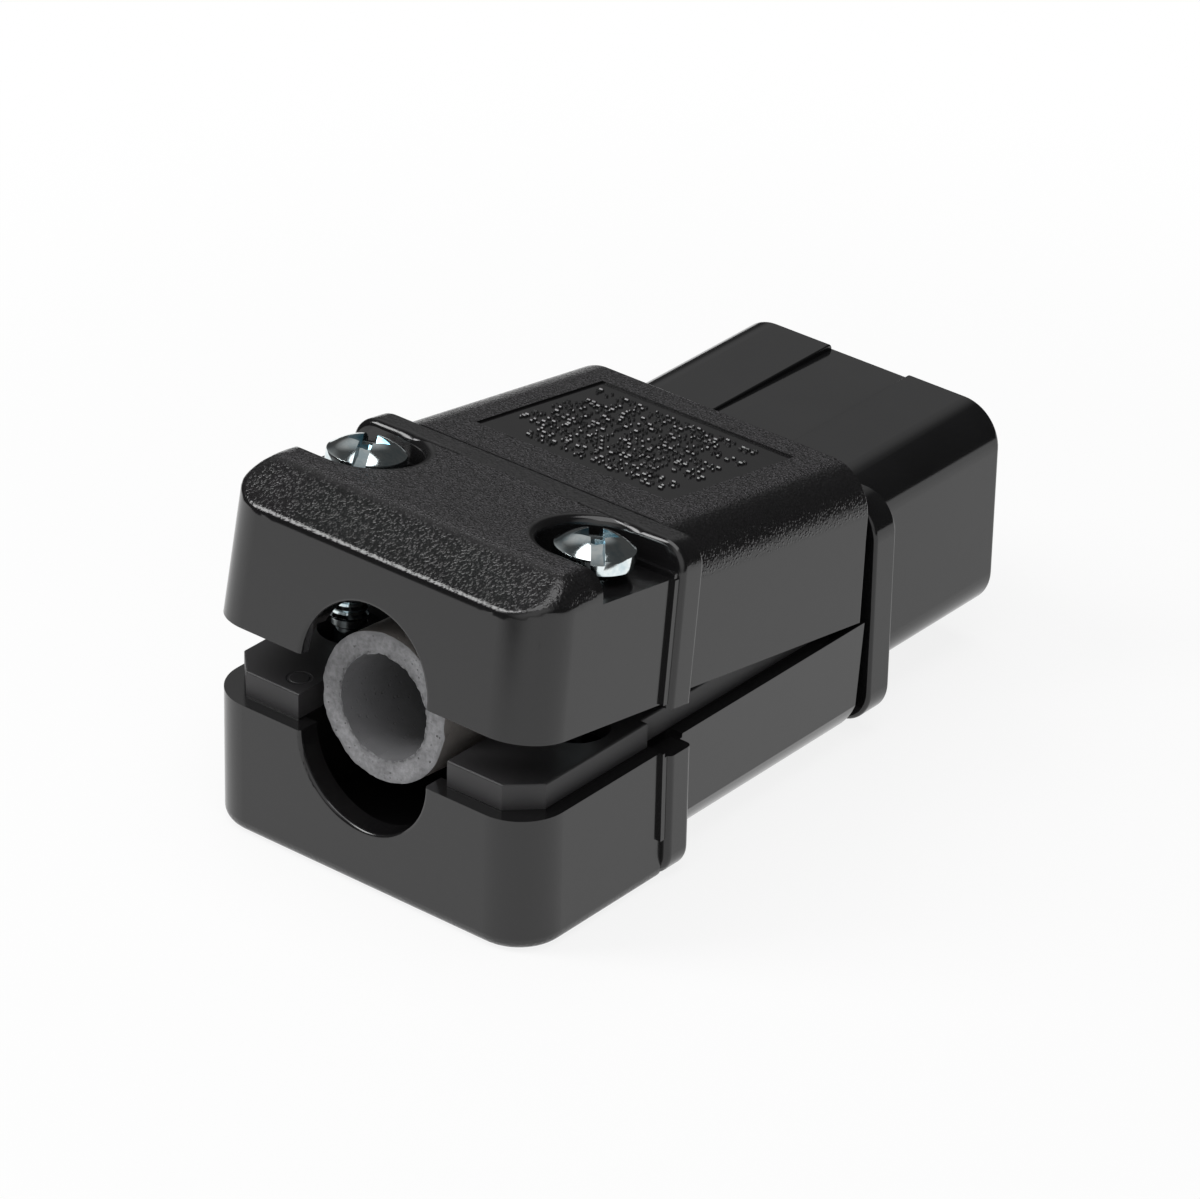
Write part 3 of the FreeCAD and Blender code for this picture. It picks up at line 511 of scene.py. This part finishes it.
def slot_cutter(reach, crown, depth):
    """A bar whose underside bends down to both ends, for a slot that follows a domed head."""
    cutter = bmesh.new()
    along = [reach * k / 6 for k in range(-6, 7)]
    middle = crown - depth - SLOT_BEND
    edge = [(y, middle + math.sqrt(SLOT_BEND ** 2 - y ** 2)) for y in along]
    edge += [(reach, crown + depth), (-reach, crown + depth)]
    face = cutter.faces.new([cutter.verts.new((-SLOT_WIDTH / 2, y, z)) for y, z in edge])
    grown = bmesh.ops.extrude_face_region(cutter, geom=[face])["geom"]
    moved = [part for part in grown if isinstance(part, bmesh.types.BMVert)]
    bmesh.ops.translate(cutter, vec=(SLOT_WIDTH, 0, 0), verts=moved)
    bmesh.ops.recalc_face_normals(cutter, faces=cutter.faces)
    return cutter


def recess_cutter(crown):
    """A flattened pyramid, point down, for the wings of the cross recess."""
    wings = bmesh.new()
    bmesh.ops.create_cone(wings, cap_ends=True, segments=4, radius1=RECESS_TIP,
                          radius2=RECESS_WIDE, depth=2 * RECESS_DEPTH)
    bmesh.ops.scale(wings, vec=(1, RECESS_NARROWING, 1), verts=wings.verts)
    bmesh.ops.translate(wings, vec=(0, 0, crown), verts=wings.verts)
    return wings


def add_thread(shape, pitch):
    """Winds a ridge round a screw's shank."""
    ridge = bmesh.new()
    root, half = SCREW_SHANK / 2 * 0.84, 0.42 * pitch
    section = ((root, 0, -half), (SCREW_SHANK / 2, 0, 0), (root, 0, half))
    corners = [ridge.verts.new(corner) for corner in section]
    lines = [ridge.edges.new(pair) for pair in zip(corners, corners[1:])]
    turns = int((SCREW_LENGTH - 1.2 * MM) / pitch)
    bmesh.ops.translate(ridge, vec=(0, 0, -SCREW_LENGTH + 0.3 * MM), verts=ridge.verts)
    bmesh.ops.spin(ridge, geom=corners + lines, cent=(0, 0, 0), axis=(0, 0, 1),
                   dvec=(0, 0, pitch / THREAD_STEPS), angle=math.tau * turns,
                   steps=THREAD_STEPS * turns, use_duplicate=False)
    bmesh.ops.recalc_face_normals(ridge, faces=ridge.faces)
    thread = bpy.data.meshes.new("thread")
    ridge.to_mesh(thread)
    ridge.free()
    shape.from_mesh(thread)
    bpy.data.meshes.remove(thread)


def screw_shape(head, pitch):
    """A pan head screw seated at height 0, with a slotted cross recess and a cut thread."""
    crown = SCREW_SIDE + SCREW_DOME
    brow = head / 2 - SCREW_BROW
    sphere = (brow ** 2 + SCREW_DOME ** 2) / (2 * SCREW_DOME)
    angles = [math.asin(brow / sphere) * k / 8 for k in range(9)]
    core, low = SCREW_SHANK / 2 * 0.86, -SCREW_LENGTH - PILOT_LENGTH
    profile = [(sphere * math.sin(a), crown - sphere + sphere * math.cos(a)) for a in angles]
    profile += [(head / 2 - 0.06 * MM, SCREW_SIDE - 0.1 * MM)]
    profile += [(head / 2, SCREW_SIDE - 0.32 * MM), (head / 2, SCREW_EDGE)]
    profile += [(head / 2 - SCREW_EDGE, 0), (core, 0), (core, -SCREW_LENGTH)]
    profile += [(SCREW_PILOT / 2, -SCREW_LENGTH - 0.2 * MM), (SCREW_PILOT / 2, low)]
    profile += [(0, low - 0.3 * MM)]
    cutters = [slot_cutter(head, crown, RECESS_DEPTH * 0.65), recess_cutter(crown)]
    shape = carve(lathe(profile, 64), cutters)
    # Faces sunk in the wings of the recess take the second material: a darker blue colour painted
    # as the shade in the recess.
    for face in shape.faces:
        middle = face.calc_center_median()
        sunk = sphere - (middle - Vector((0, 0, crown - sphere))).length
        in_wing = abs(middle.x) > SLOT_WIDTH / 2 - 0.02 * MM
        if middle.z > SCREW_SIDE * 0.6 and sunk > 0.05 * MM and in_wing:
            face.material_index = 1
    add_thread(shape, pitch)
    return shape


def round_edge(first, second, radius):
    """How far a point lies outside two walls that meet square in a round edge."""
    corner = math.hypot(max(first + radius, 0), max(second + radius, 0))
    return min(max(first, second), -radius) + corner


def past_cable_end(spot):
    """How far a point lies outside the closed cover's cable end, with all its edges rounded."""
    above, slope = spot.z - SHELL_TOP, past_slope(spot.y, spot.z)
    soft = max(CREASE_BLEND - abs(above - slope), 0) / CREASE_BLEND
    cap = max(above, slope) + soft * soft * CREASE_BLEND / 4
    half = REAR_HALF - REAR_LEAN * (spot.z - PARTING) / (SHELL_TOP - PARTING)
    wall = round_edge(abs(spot.x) - half, SHELL_REAR - spot.y, REAR_CORNER)
    turn = min(max((spot.y - SHELL_REAR - 1 * MM) / (4.5 * MM), 0), 1)
    widening = turn * turn * (3 - 2 * turn)
    return round_edge(cap, wall, CREASE + (REAR_SHOULDER - CREASE) * widening)


def on_cable_end(spot, reach):
    """Whether a point of the closed cover lies within reach of the rounded cable end."""
    return spot.y < END_FRONT and spot.z > END_BOTTOM and abs(past_cable_end(spot)) < reach


def off_cable_end(spot):
    """The direction in which a point leaves the rounded cable end fastest."""
    small = 0.02 * MM
    return Vector([past_cable_end(spot + small * side) - past_cable_end(spot - small * side)
                   for side in Matrix.Identity(3)]) / (2 * small)


def onto_cable_end(spot):
    """The nearby point of the rounded cable end."""
    found = spot.copy()
    for _ in range(4):
        steep = off_cable_end(found)
        if steep.length > 0.3:
            found -= steep * (past_cable_end(found) / steep.length_squared)
    return found


def slice_faces(shape, faces, place, normal):
    """Cuts faces along a plane and keeps both sides; a dict keeps the order of each run."""
    parts = dict.fromkeys(part for f in faces for part in (*f.verts, *f.edges, f))
    bmesh.ops.bisect_plane(shape, geom=list(parts), dist=WELD, plane_co=place, plane_no=normal)


def soften_cable_end(shape):
    """Cuts the skin of the closed cover's cable end fine and draws it onto the rounded form."""
    def skin():
        return [f for f in shape.faces if on_cable_end(f.calc_center_median(), SOFT_REACH)]

    def skin_points():
        return list(dict.fromkeys(v for f in skin() for v in f.verts))

    along, across, upright = Vector((0, 1, 0)), Vector((1, 0, 0)), Vector((0, 0, 1))
    slice_faces(shape, shape.faces[:], along * END_FRONT, along)
    slice_faces(shape, shape.faces[:], upright * END_BOTTOM, upright)
    for normal, start, stop, step in (
        (across, -18.0 * MM, 18.0 * MM, 0.6 * MM),
        (along, SHELL_REAR + 0.2 * MM, END_FRONT, 0.4 * MM),
        (upright, END_BOTTOM + 0.4 * MM, SHELL_TOP, 0.4 * MM),
    ):
        for k in range(int((stop - start) / step) + 1):
            slice_faces(shape, skin(), normal * (start + k * step), normal)
    for vert in skin_points():
        spot = onto_cable_end(vert.co)
        share = min(max((END_FRONT - vert.co.y) / SOFT_REACH, 0), 1)
        if (spot - vert.co).length < SOFT_REACH:
            vert.co = vert.co.lerp(spot, share)
    bmesh.ops.remove_doubles(shape, verts=skin_points(), dist=SKIN_WELD)
    shape.normal_update()
    folded = [f for f in skin() if f.normal.dot(off_cable_end(f.calc_center_median())) < -0.5]
    slivers = [f for f in folded if f.calc_area() < SLIVER]
    bmesh.ops.delete(shape, geom=slivers, context="FACES_ONLY")


class ConnectorColours(bpy.types.PropertyGroup):
    """Colours of the finishes."""

    shell: bpy.props.FloatVectorProperty(
        name="Shell", description="Moulded half shells", subtype="COLOR", size=3,
        default=(0.0055, 0.0053, 0.0056))
    carrier: bpy.props.FloatVectorProperty(
        name="Carrier", description="Glossy contact carrier", subtype="COLOR", size=3,
        default=(0.005, 0.005, 0.0053))
    bush_wall: bpy.props.FloatVectorProperty(
        name="Bush wall", description="Walls of the cable bush", subtype="COLOR", size=3,
        default=(0.20, 0.185, 0.175))
    bush_bore: bpy.props.FloatVectorProperty(
        name="Bush bore", description="Inside of the cable bush", subtype="COLOR", size=3,
        default=(0.15, 0.15, 0.155))
    bush_cut: bpy.props.FloatVectorProperty(
        name="Bush cut", description="Cut ends of the cable bush", subtype="COLOR", size=3,
        default=(0.32, 0.32, 0.33))
    zinc: bpy.props.FloatVectorProperty(
        name="Zinc", description="Plated steel", subtype="COLOR", size=3,
        default=(0.86, 0.92, 0.92))
    zinc_tint: bpy.props.FloatVectorProperty(
        name="Zinc tint", description="Bluish clouds of the plating", subtype="COLOR", size=3,
        default=(0.58, 0.70, 0.74))
    # Painted shade: the recess colour is a darker blue than the plating, and stands in for the
    # shade in the screws' recesses.
    recess: bpy.props.FloatVectorProperty(
        name="Recess", description="Blue plating in the screws' recesses", subtype="COLOR",
        size=3, default=(0.10, 0.27, 0.36))
    brass: bpy.props.FloatVectorProperty(
        name="Brass", description="Contacts and inserts", subtype="COLOR", size=3,
        default=(0.78, 0.56, 0.25))
    brass_tint: bpy.props.FloatVectorProperty(
        name="Brass tint", description="Darker clouds of the brass", subtype="COLOR", size=3,
        default=(0.55, 0.37, 0.15))


class ConnectorSizes(bpy.types.PropertyGroup):
    """Sizes of the fine pieces."""

    mark_rows: bpy.props.IntProperty(
        name="Rows of marks", description="Rows of raised marks on the panel", default=10, min=1)
    mark_height: bpy.props.FloatProperty(
        name="Mark height", description="Rise of the marks above the panel floor",
        default=0.22 * MM, unit="LENGTH")
    mark_width: bpy.props.FloatProperty(
        name="Mark width", description="Thickness of a mark", default=0.3 * MM, unit="LENGTH")
    mark_margin: bpy.props.FloatProperty(
        name="Mark margin", description="Plain border of the panel", default=1.3 * MM,
        unit="LENGTH")
    screw_head: bpy.props.FloatProperty(
        name="Screw head", description="Diameter of a cover screw's head", default=7.1 * MM,
        unit="LENGTH")
    screw_pitch: bpy.props.FloatProperty(
        name="Thread pitch", description="Rise of a thread per turn", default=0.8 * MM,
        unit="LENGTH")
    screw_turn: bpy.props.FloatProperty(
        name="Screw turn", description="How far the cover screws are turned",
        default=math.radians(36), subtype="ANGLE")
    screw_slack: bpy.props.FloatProperty(
        name="Screw slack", description="How far the cover screws are undone",
        default=0.9 * MM, unit="LENGTH")
    bush_tear: bpy.props.FloatProperty(
        name="Bush tear", description="Depth of the torn cut of the bush", default=0.28 * MM,
        unit="LENGTH")


class CONNECTOR_OT_mouldings(bpy.types.Operator):
    """Gives the moulded parts their black plastic"""

    bl_idname = "connector.mouldings"
    bl_label = "Mouldings"

    def execute(self, context):
        colours = context.scene.connector_colours
        shell_finish("cover_plastic", tuple(colours.shell), cover_grain, COVER_LIFT)
        base = shell_finish("base_plastic", tuple(colours.shell), base_grain, mark=ejector_ring,
                            dull_and_painted_light=tongue_only)
        gloss = gloss_finish("carrier_plastic", tuple(colours.carrier))
        dress("base_shell", base)
        for node in ("contact_carrier", "back_plate", "cord_grip_bar"):
            dress(node, gloss)
        return {"FINISHED"}


class CONNECTOR_OT_cover_skin(bpy.types.Operator):
    """Makes the cover with the soft edges of its cable end"""

    bl_idname = "connector.cover_skin"
    bl_label = "Cover skin"

    def execute(self, context):
        shape = bmesh.new()
        shape.from_mesh(frame["nodes"]["top_cover"].data)
        bmesh.ops.remove_doubles(shape, verts=shape.verts, dist=1e-6)
        bmesh.ops.transform(shape, matrix=COVER_LIFT.inverted(), verts=shape.verts)
        soften_cable_end(shape)
        self.raise_panel(shape)
        bmesh.ops.transform(shape, matrix=COVER_LIFT, verts=shape.verts)
        smooth_by_angle(shape, 32)
        finish = bpy.data.materials["cover_plastic"]
        piece = piece_from(shape, "top_cover_softened", finish, "cover", ("top_cover",))
        self.shade(piece)
        return {"FINISHED"}

    @staticmethod
    def raise_panel(shape):
        """Makes the sunken panel as shallow as it looks."""
        margin = 0.1 * MM
        for vert in shape.verts:
            x, y, z = vert.co
            if y > PANEL_REAR - margin and abs(x) < PANEL_HALF + margin:
                if abs(z - PANEL_CUT) < 0.05 * MM:
                    vert.co.z = PANEL_FLOOR

    @staticmethod
    def shade(piece):
        """Even normals for flat and round walls, and the rounded form's own on the cable end."""
        even = piece.modifiers.new("even shading", "WEIGHTED_NORMAL")
        even.keep_sharp = True
        shaded = piece.evaluated_get(bpy.context.evaluated_depsgraph_get()).data
        normals = [corner.vector.copy() for corner in shaded.corner_normals]
        piece.modifiers.remove(even)
        back, turn = COVER_LIFT.inverted(), COVER_LIFT.to_3x3()
        for face in piece.data.polygons:
            for corner, vertex in zip(face.loop_indices, face.vertices):
                spot = back @ piece.data.vertices[vertex].co
                if on_cable_end(spot, SKIN_WELD):
                    normals[corner] = turn @ off_cable_end(spot).normalized()
        piece.data.normals_split_custom_set(normals)


class CONNECTOR_OT_metal(bpy.types.Operator):
    """Gives the metal parts their brass and zinc"""

    bl_idname = "connector.metal"
    bl_label = "Metal parts"

    def execute(self, context):
        colours = context.scene.connector_colours
        cloud = tuple(colours.zinc_tint)
        brass = metal_finish("brass", tuple(colours.brass), tuple(colours.brass_tint), 0.22)
        zinc = metal_finish("zinc_plating", tuple(colours.zinc), cloud, 0.06)
        # This finish carries the painted shade of the screws' recesses.
        metal_finish("zinc_painted_recess_shade", tuple(colours.recess), cloud, 0.15)
        for contact in ("line", "neutral", "earth"):
            dress(f"{contact}_contact", brass)
            dress(f"{contact}_terminal_screw", zinc)
            dress(f"{contact}_pressure_plate", zinc)
        for hand in ("right", "left"):
            dress(f"screw_nut_{hand}", brass)
            dress(f"grip_screw_{hand}", zinc)
        return {"FINISHED"}


class CONNECTOR_OT_panel(bpy.types.Operator):
    """Raises rows of plain marks on the sunken panel"""

    bl_idname = "connector.panel"
    bl_label = "Panel marks"

    def execute(self, context):
        sizes = context.scene.connector_sizes
        draw = random.Random(5)
        shape = bmesh.new()
        margin = sizes.mark_margin
        pitch = (PANEL_FRONT - PANEL_REAR - 2 * margin) / sizes.mark_rows
        for row in range(sizes.mark_rows):
            y = PANEL_REAR + margin + (row + 0.5) * pitch
            x = -PANEL_HALF + margin + draw.choice(ROW_STARTS) * MM
            stop = PANEL_HALF - margin - draw.choice(ROW_STOPS) * MM
            while x < stop:
                for step in draw.choice(BAR_HEIGHTS):
                    size = (draw.choice(BAR_LENGTHS) * MM, sizes.mark_width, 2 * sizes.mark_height)
                    aside = draw.uniform(-BAR_STRAY, BAR_STRAY) * MM
                    place = Matrix.Translation((x + aside, y + step * pitch, PANEL_FLOOR))
                    turn = Matrix.Rotation(draw.uniform(-BAR_TURN, BAR_TURN), 4, "Z")
                    bar = place @ turn @ Matrix.Diagonal((*size, 1))
                    bmesh.ops.create_cube(shape, size=1.0, matrix=bar)
                x += draw.choice(BAR_GAPS) * MM
        bmesh.ops.bevel(shape, geom=shape.edges[:], offset=0.1 * MM, segments=1, profile=0.5,
                        affect="EDGES", material=-1)
        bmesh.ops.transform(shape, matrix=COVER_LIFT, verts=shape.verts)
        smooth_by_angle(shape, 20)
        finish = bpy.data.materials["carrier_plastic"]
        piece_from(shape, "panel_marks", finish, "cover")
        return {"FINISHED"}


class CONNECTOR_OT_cover_screws(bpy.types.Operator):
    """Makes the two cover screws with heads, recesses and threads"""

    bl_idname = "connector.cover_screws"
    bl_label = "Cover screws"

    def execute(self, context):
        sizes = context.scene.connector_sizes
        height = POCKET_FLOOR + sizes.screw_slack
        for hand, side in (("right", 1), ("left", -1)):
            shape = screw_shape(sizes.screw_head, sizes.screw_pitch)
            seat = Matrix.Translation((side * SCREW_X, SCREW_Y, height))
            turn = Matrix.Rotation(sizes.screw_turn + 0.12 * side, 4, "Z")
            bmesh.ops.transform(shape, matrix=COVER_LIFT @ seat @ turn, verts=shape.verts)
            smooth_by_angle(shape, 35)
            name = f"cover_screw_{hand}"
            finish = bpy.data.materials["zinc_plating"]
            piece = piece_from(shape, f"{name}_threaded", finish, "cover", (name,))
            # The second material is the painted shade in the recess.
            piece.data.materials.append(bpy.data.materials["zinc_painted_recess_shade"])
            rounding = piece.modifiers.new("worn edges", "BEVEL")
            rounding.width = 0.05 * MM
            rounding.segments = 2
            rounding.limit_method = "ANGLE"
            rounding.angle_limit = math.radians(40)
        return {"FINISHED"}


class CONNECTOR_OT_bush(bpy.types.Operator):
    """Makes the cable bush with its torn cut end"""

    bl_idname = "connector.bush"
    bl_label = "Cable bush"

    def execute(self, context):
        colours = context.scene.connector_colours
        finish = bush_finish("bush_rubber", tuple(colours.bush_wall), tuple(colours.bush_bore),
                             tuple(colours.bush_cut))
        radii = [BUSH_BORE + (BUSH_WALL - BUSH_BORE) * k / 8 for k in range(9)]
        levels = [BUSH_LENGTH * k / 16 for k in range(1, 16)]
        profile = [(r, 0) for r in radii] + [(BUSH_WALL, h) for h in levels]
        profile += [(r, BUSH_LENGTH) for r in reversed(radii)]
        profile += [(BUSH_BORE, h) for h in reversed(levels)]
        profile.append(profile[0])
        shape = lathe(profile, 128)
        self.tear_ends(shape, context.scene.connector_sizes.bush_tear)
        place = Matrix.Translation((0, BUSH_REAR, PARTING))
        lying = Matrix.Rotation(-math.pi / 2, 4, "X")
        bmesh.ops.transform(shape, matrix=BUSH_LIFT @ (place @ lying), verts=shape.verts)
        bmesh.ops.recalc_face_normals(shape, faces=shape.faces)
        smooth_by_angle(shape, 50)
        piece_from(shape, "cable_bush_torn", finish, "bush", ("cable_bush",))
        return {"FINISHED"}

    @staticmethod
    def tear_ends(shape, depth):
        """Makes both ends uneven, and nicks the edge of the bore."""
        hair = 0.01 * MM
        for vert in shape.verts:
            if hair <= vert.co.z <= BUSH_LENGTH - hair:
                continue
            spot = vert.co / TEAR_SIZE
            tear = noise.fractal(spot * 0.7, 0.6, 2.0, 4) * 0.5 + 0.5
            inward = 1 if vert.co.z < BUSH_LENGTH / 2 else -1
            vert.co.z += inward * max(0.0, tear) * depth
            if vert.co.xy.length < BUSH_BORE + 0.3 * MM:
                nick = 1 + max(0.0, noise.noise(spot * 1.3)) * 0.05
                vert.co.x *= nick
                vert.co.y *= nick


class CONNECTOR_OT_stage(bpy.types.Operator):
    """Sets the pale floor, the soft studio light and the camera"""

    bl_idname = "connector.stage"
    bl_label = "Stage"

    def execute(self, context):
        scene = context.scene
        scene.view_settings.view_transform = "Standard"
        self.make_floor()
        self.make_world(scene)
        self.make_lamps(scene)
        self.make_camera(scene)
        return {"FINISHED"}

    def make_floor(self):
        shape = bmesh.new()
        bmesh.ops.create_grid(shape, x_segments=1, y_segments=1, size=FLOOR_HALF)
        floor = scene_object(shape, "floor")
        finish = new_finish("floor_paper")
        paper = finish.node("ShaderNodeBsdfDiffuse", None, {"Color": (0.9, 0.9, 0.9, 1)})
        white = finish.node("ShaderNodeEmission", None, {"Color": (1, 1, 1, 1), "Strength": 1.0})
        x, y, _ = finish.parts(finish.place())
        glow = 1 - SHADOW_SHARE + distance(x, y).rise(*SHADOW_FADE) * SHADOW_SHARE
        share = self.seen(finish) * glow
        look = finish.node("ShaderNodeMixShader", None, {0: share, 1: paper, 2: white})
        finish.node("ShaderNodeOutputMaterial", None, {"Surface": look})
        floor.data.materials.append(finish.owner)

    @staticmethod
    def seen(finish):
        """1 for rays that show the background: from the camera, or off gloss or glass."""
        rays = ("Is Camera Ray", "Is Glossy Ray", "Is Transmission Ray")
        camera, gloss, glass = finish.node("ShaderNodeLightPath", outlet=rays)
        return camera.larger(gloss).larger(glass)

    @staticmethod
    def make_world(scene):
        scene.world = bpy.data.worlds.new("studio")
        finish = Finish(scene.world)
        direction = finish.node("ShaderNodeTexCoord", outlet="Generated")
        soft, front = [
            finish.node("ShaderNodeVectorMath", {"operation": "DOT_PRODUCT"},
                        {0: direction, 1: Vector(wall)}, "Value")
            for wall in (SOFT_WALL, FRONT_WALL)]
        camera = finish.node("ShaderNodeLightPath", outlet="Is Camera Ray")
        glow = 0.05 + soft.rise(0.86, 1.0) * 0.34 + front.rise(0.6, 0.97) * 0.8
        inlets = {"Color": (1, 1, 1, 1), "Strength": camera + (1 - camera) * glow}
        light = finish.node("ShaderNodeBackground", None, inlets)
        finish.node("ShaderNodeOutputWorld", None, {"Surface": light})

    @staticmethod
    def make_lamps(scene):
        for name, toward, size, watts in LAMPS:
            lamp = bpy.data.lights.new(name, "AREA")
            lamp.shape = "RECTANGLE"
            lamp.size, lamp.size_y = size
            lamp.energy = watts
            holder = bpy.data.objects.new(name, lamp)
            scene.collection.objects.link(holder)
            aim = Vector(toward).normalized()
            holder.location = Vector(LAMP_AIM) + aim * LAMP_AWAY
            holder.rotation_euler = aim.to_track_quat("Z", "Y").to_euler()

    @staticmethod
    def make_camera(scene):
        camera = bpy.data.cameras.new("camera")
        camera.lens = CAMERA_LENS
        camera.sensor_width = CAMERA_SENSOR
        camera.clip_start = 0.01
        holder = bpy.data.objects.new("camera", camera)
        scene.collection.objects.link(holder)
        holder.location = CAMERA_PLACE
        holder.rotation_euler = [math.radians(angle) for angle in CAMERA_TURN]
        scene.camera = holder


class CONNECTOR_PT_sidebar(bpy.types.Panel):
    """Lists the pieces, their sizes and their colours"""

    bl_idname = "CONNECTOR_PT_sidebar"
    bl_label = "Connector"
    bl_space_type = "VIEW_3D"
    bl_region_type = "UI"
    bl_category = "Connector"

    def draw(self, context):
        for operator in OPERATORS:
            self.layout.operator(operator.bl_idname)
        for group in (context.scene.connector_sizes, context.scene.connector_colours):
            for name in group.__annotations__:
                self.layout.prop(group, name)


OPERATORS = (CONNECTOR_OT_mouldings, CONNECTOR_OT_cover_skin, CONNECTOR_OT_metal,
             CONNECTOR_OT_panel, CONNECTOR_OT_cover_screws, CONNECTOR_OT_bush, CONNECTOR_OT_stage)
CLASSES = (ConnectorColours, ConnectorSizes, *OPERATORS, CONNECTOR_PT_sidebar)


def register():
    for kind in CLASSES:
        bpy.utils.register_class(kind)
    bpy.types.Scene.connector_colours = bpy.props.PointerProperty(type=ConnectorColours)
    bpy.types.Scene.connector_sizes = bpy.props.PointerProperty(type=ConnectorSizes)


def unregister():
    del bpy.types.Scene.connector_sizes
    del bpy.types.Scene.connector_colours
    for kind in reversed(CLASSES):
        bpy.utils.unregister_class(kind)


def main():
    register()
    for operator in OPERATORS:
        group, name = operator.bl_idname.split(".")
        getattr(getattr(bpy.ops, group), name)()


if __name__ == "__main__":
    main()
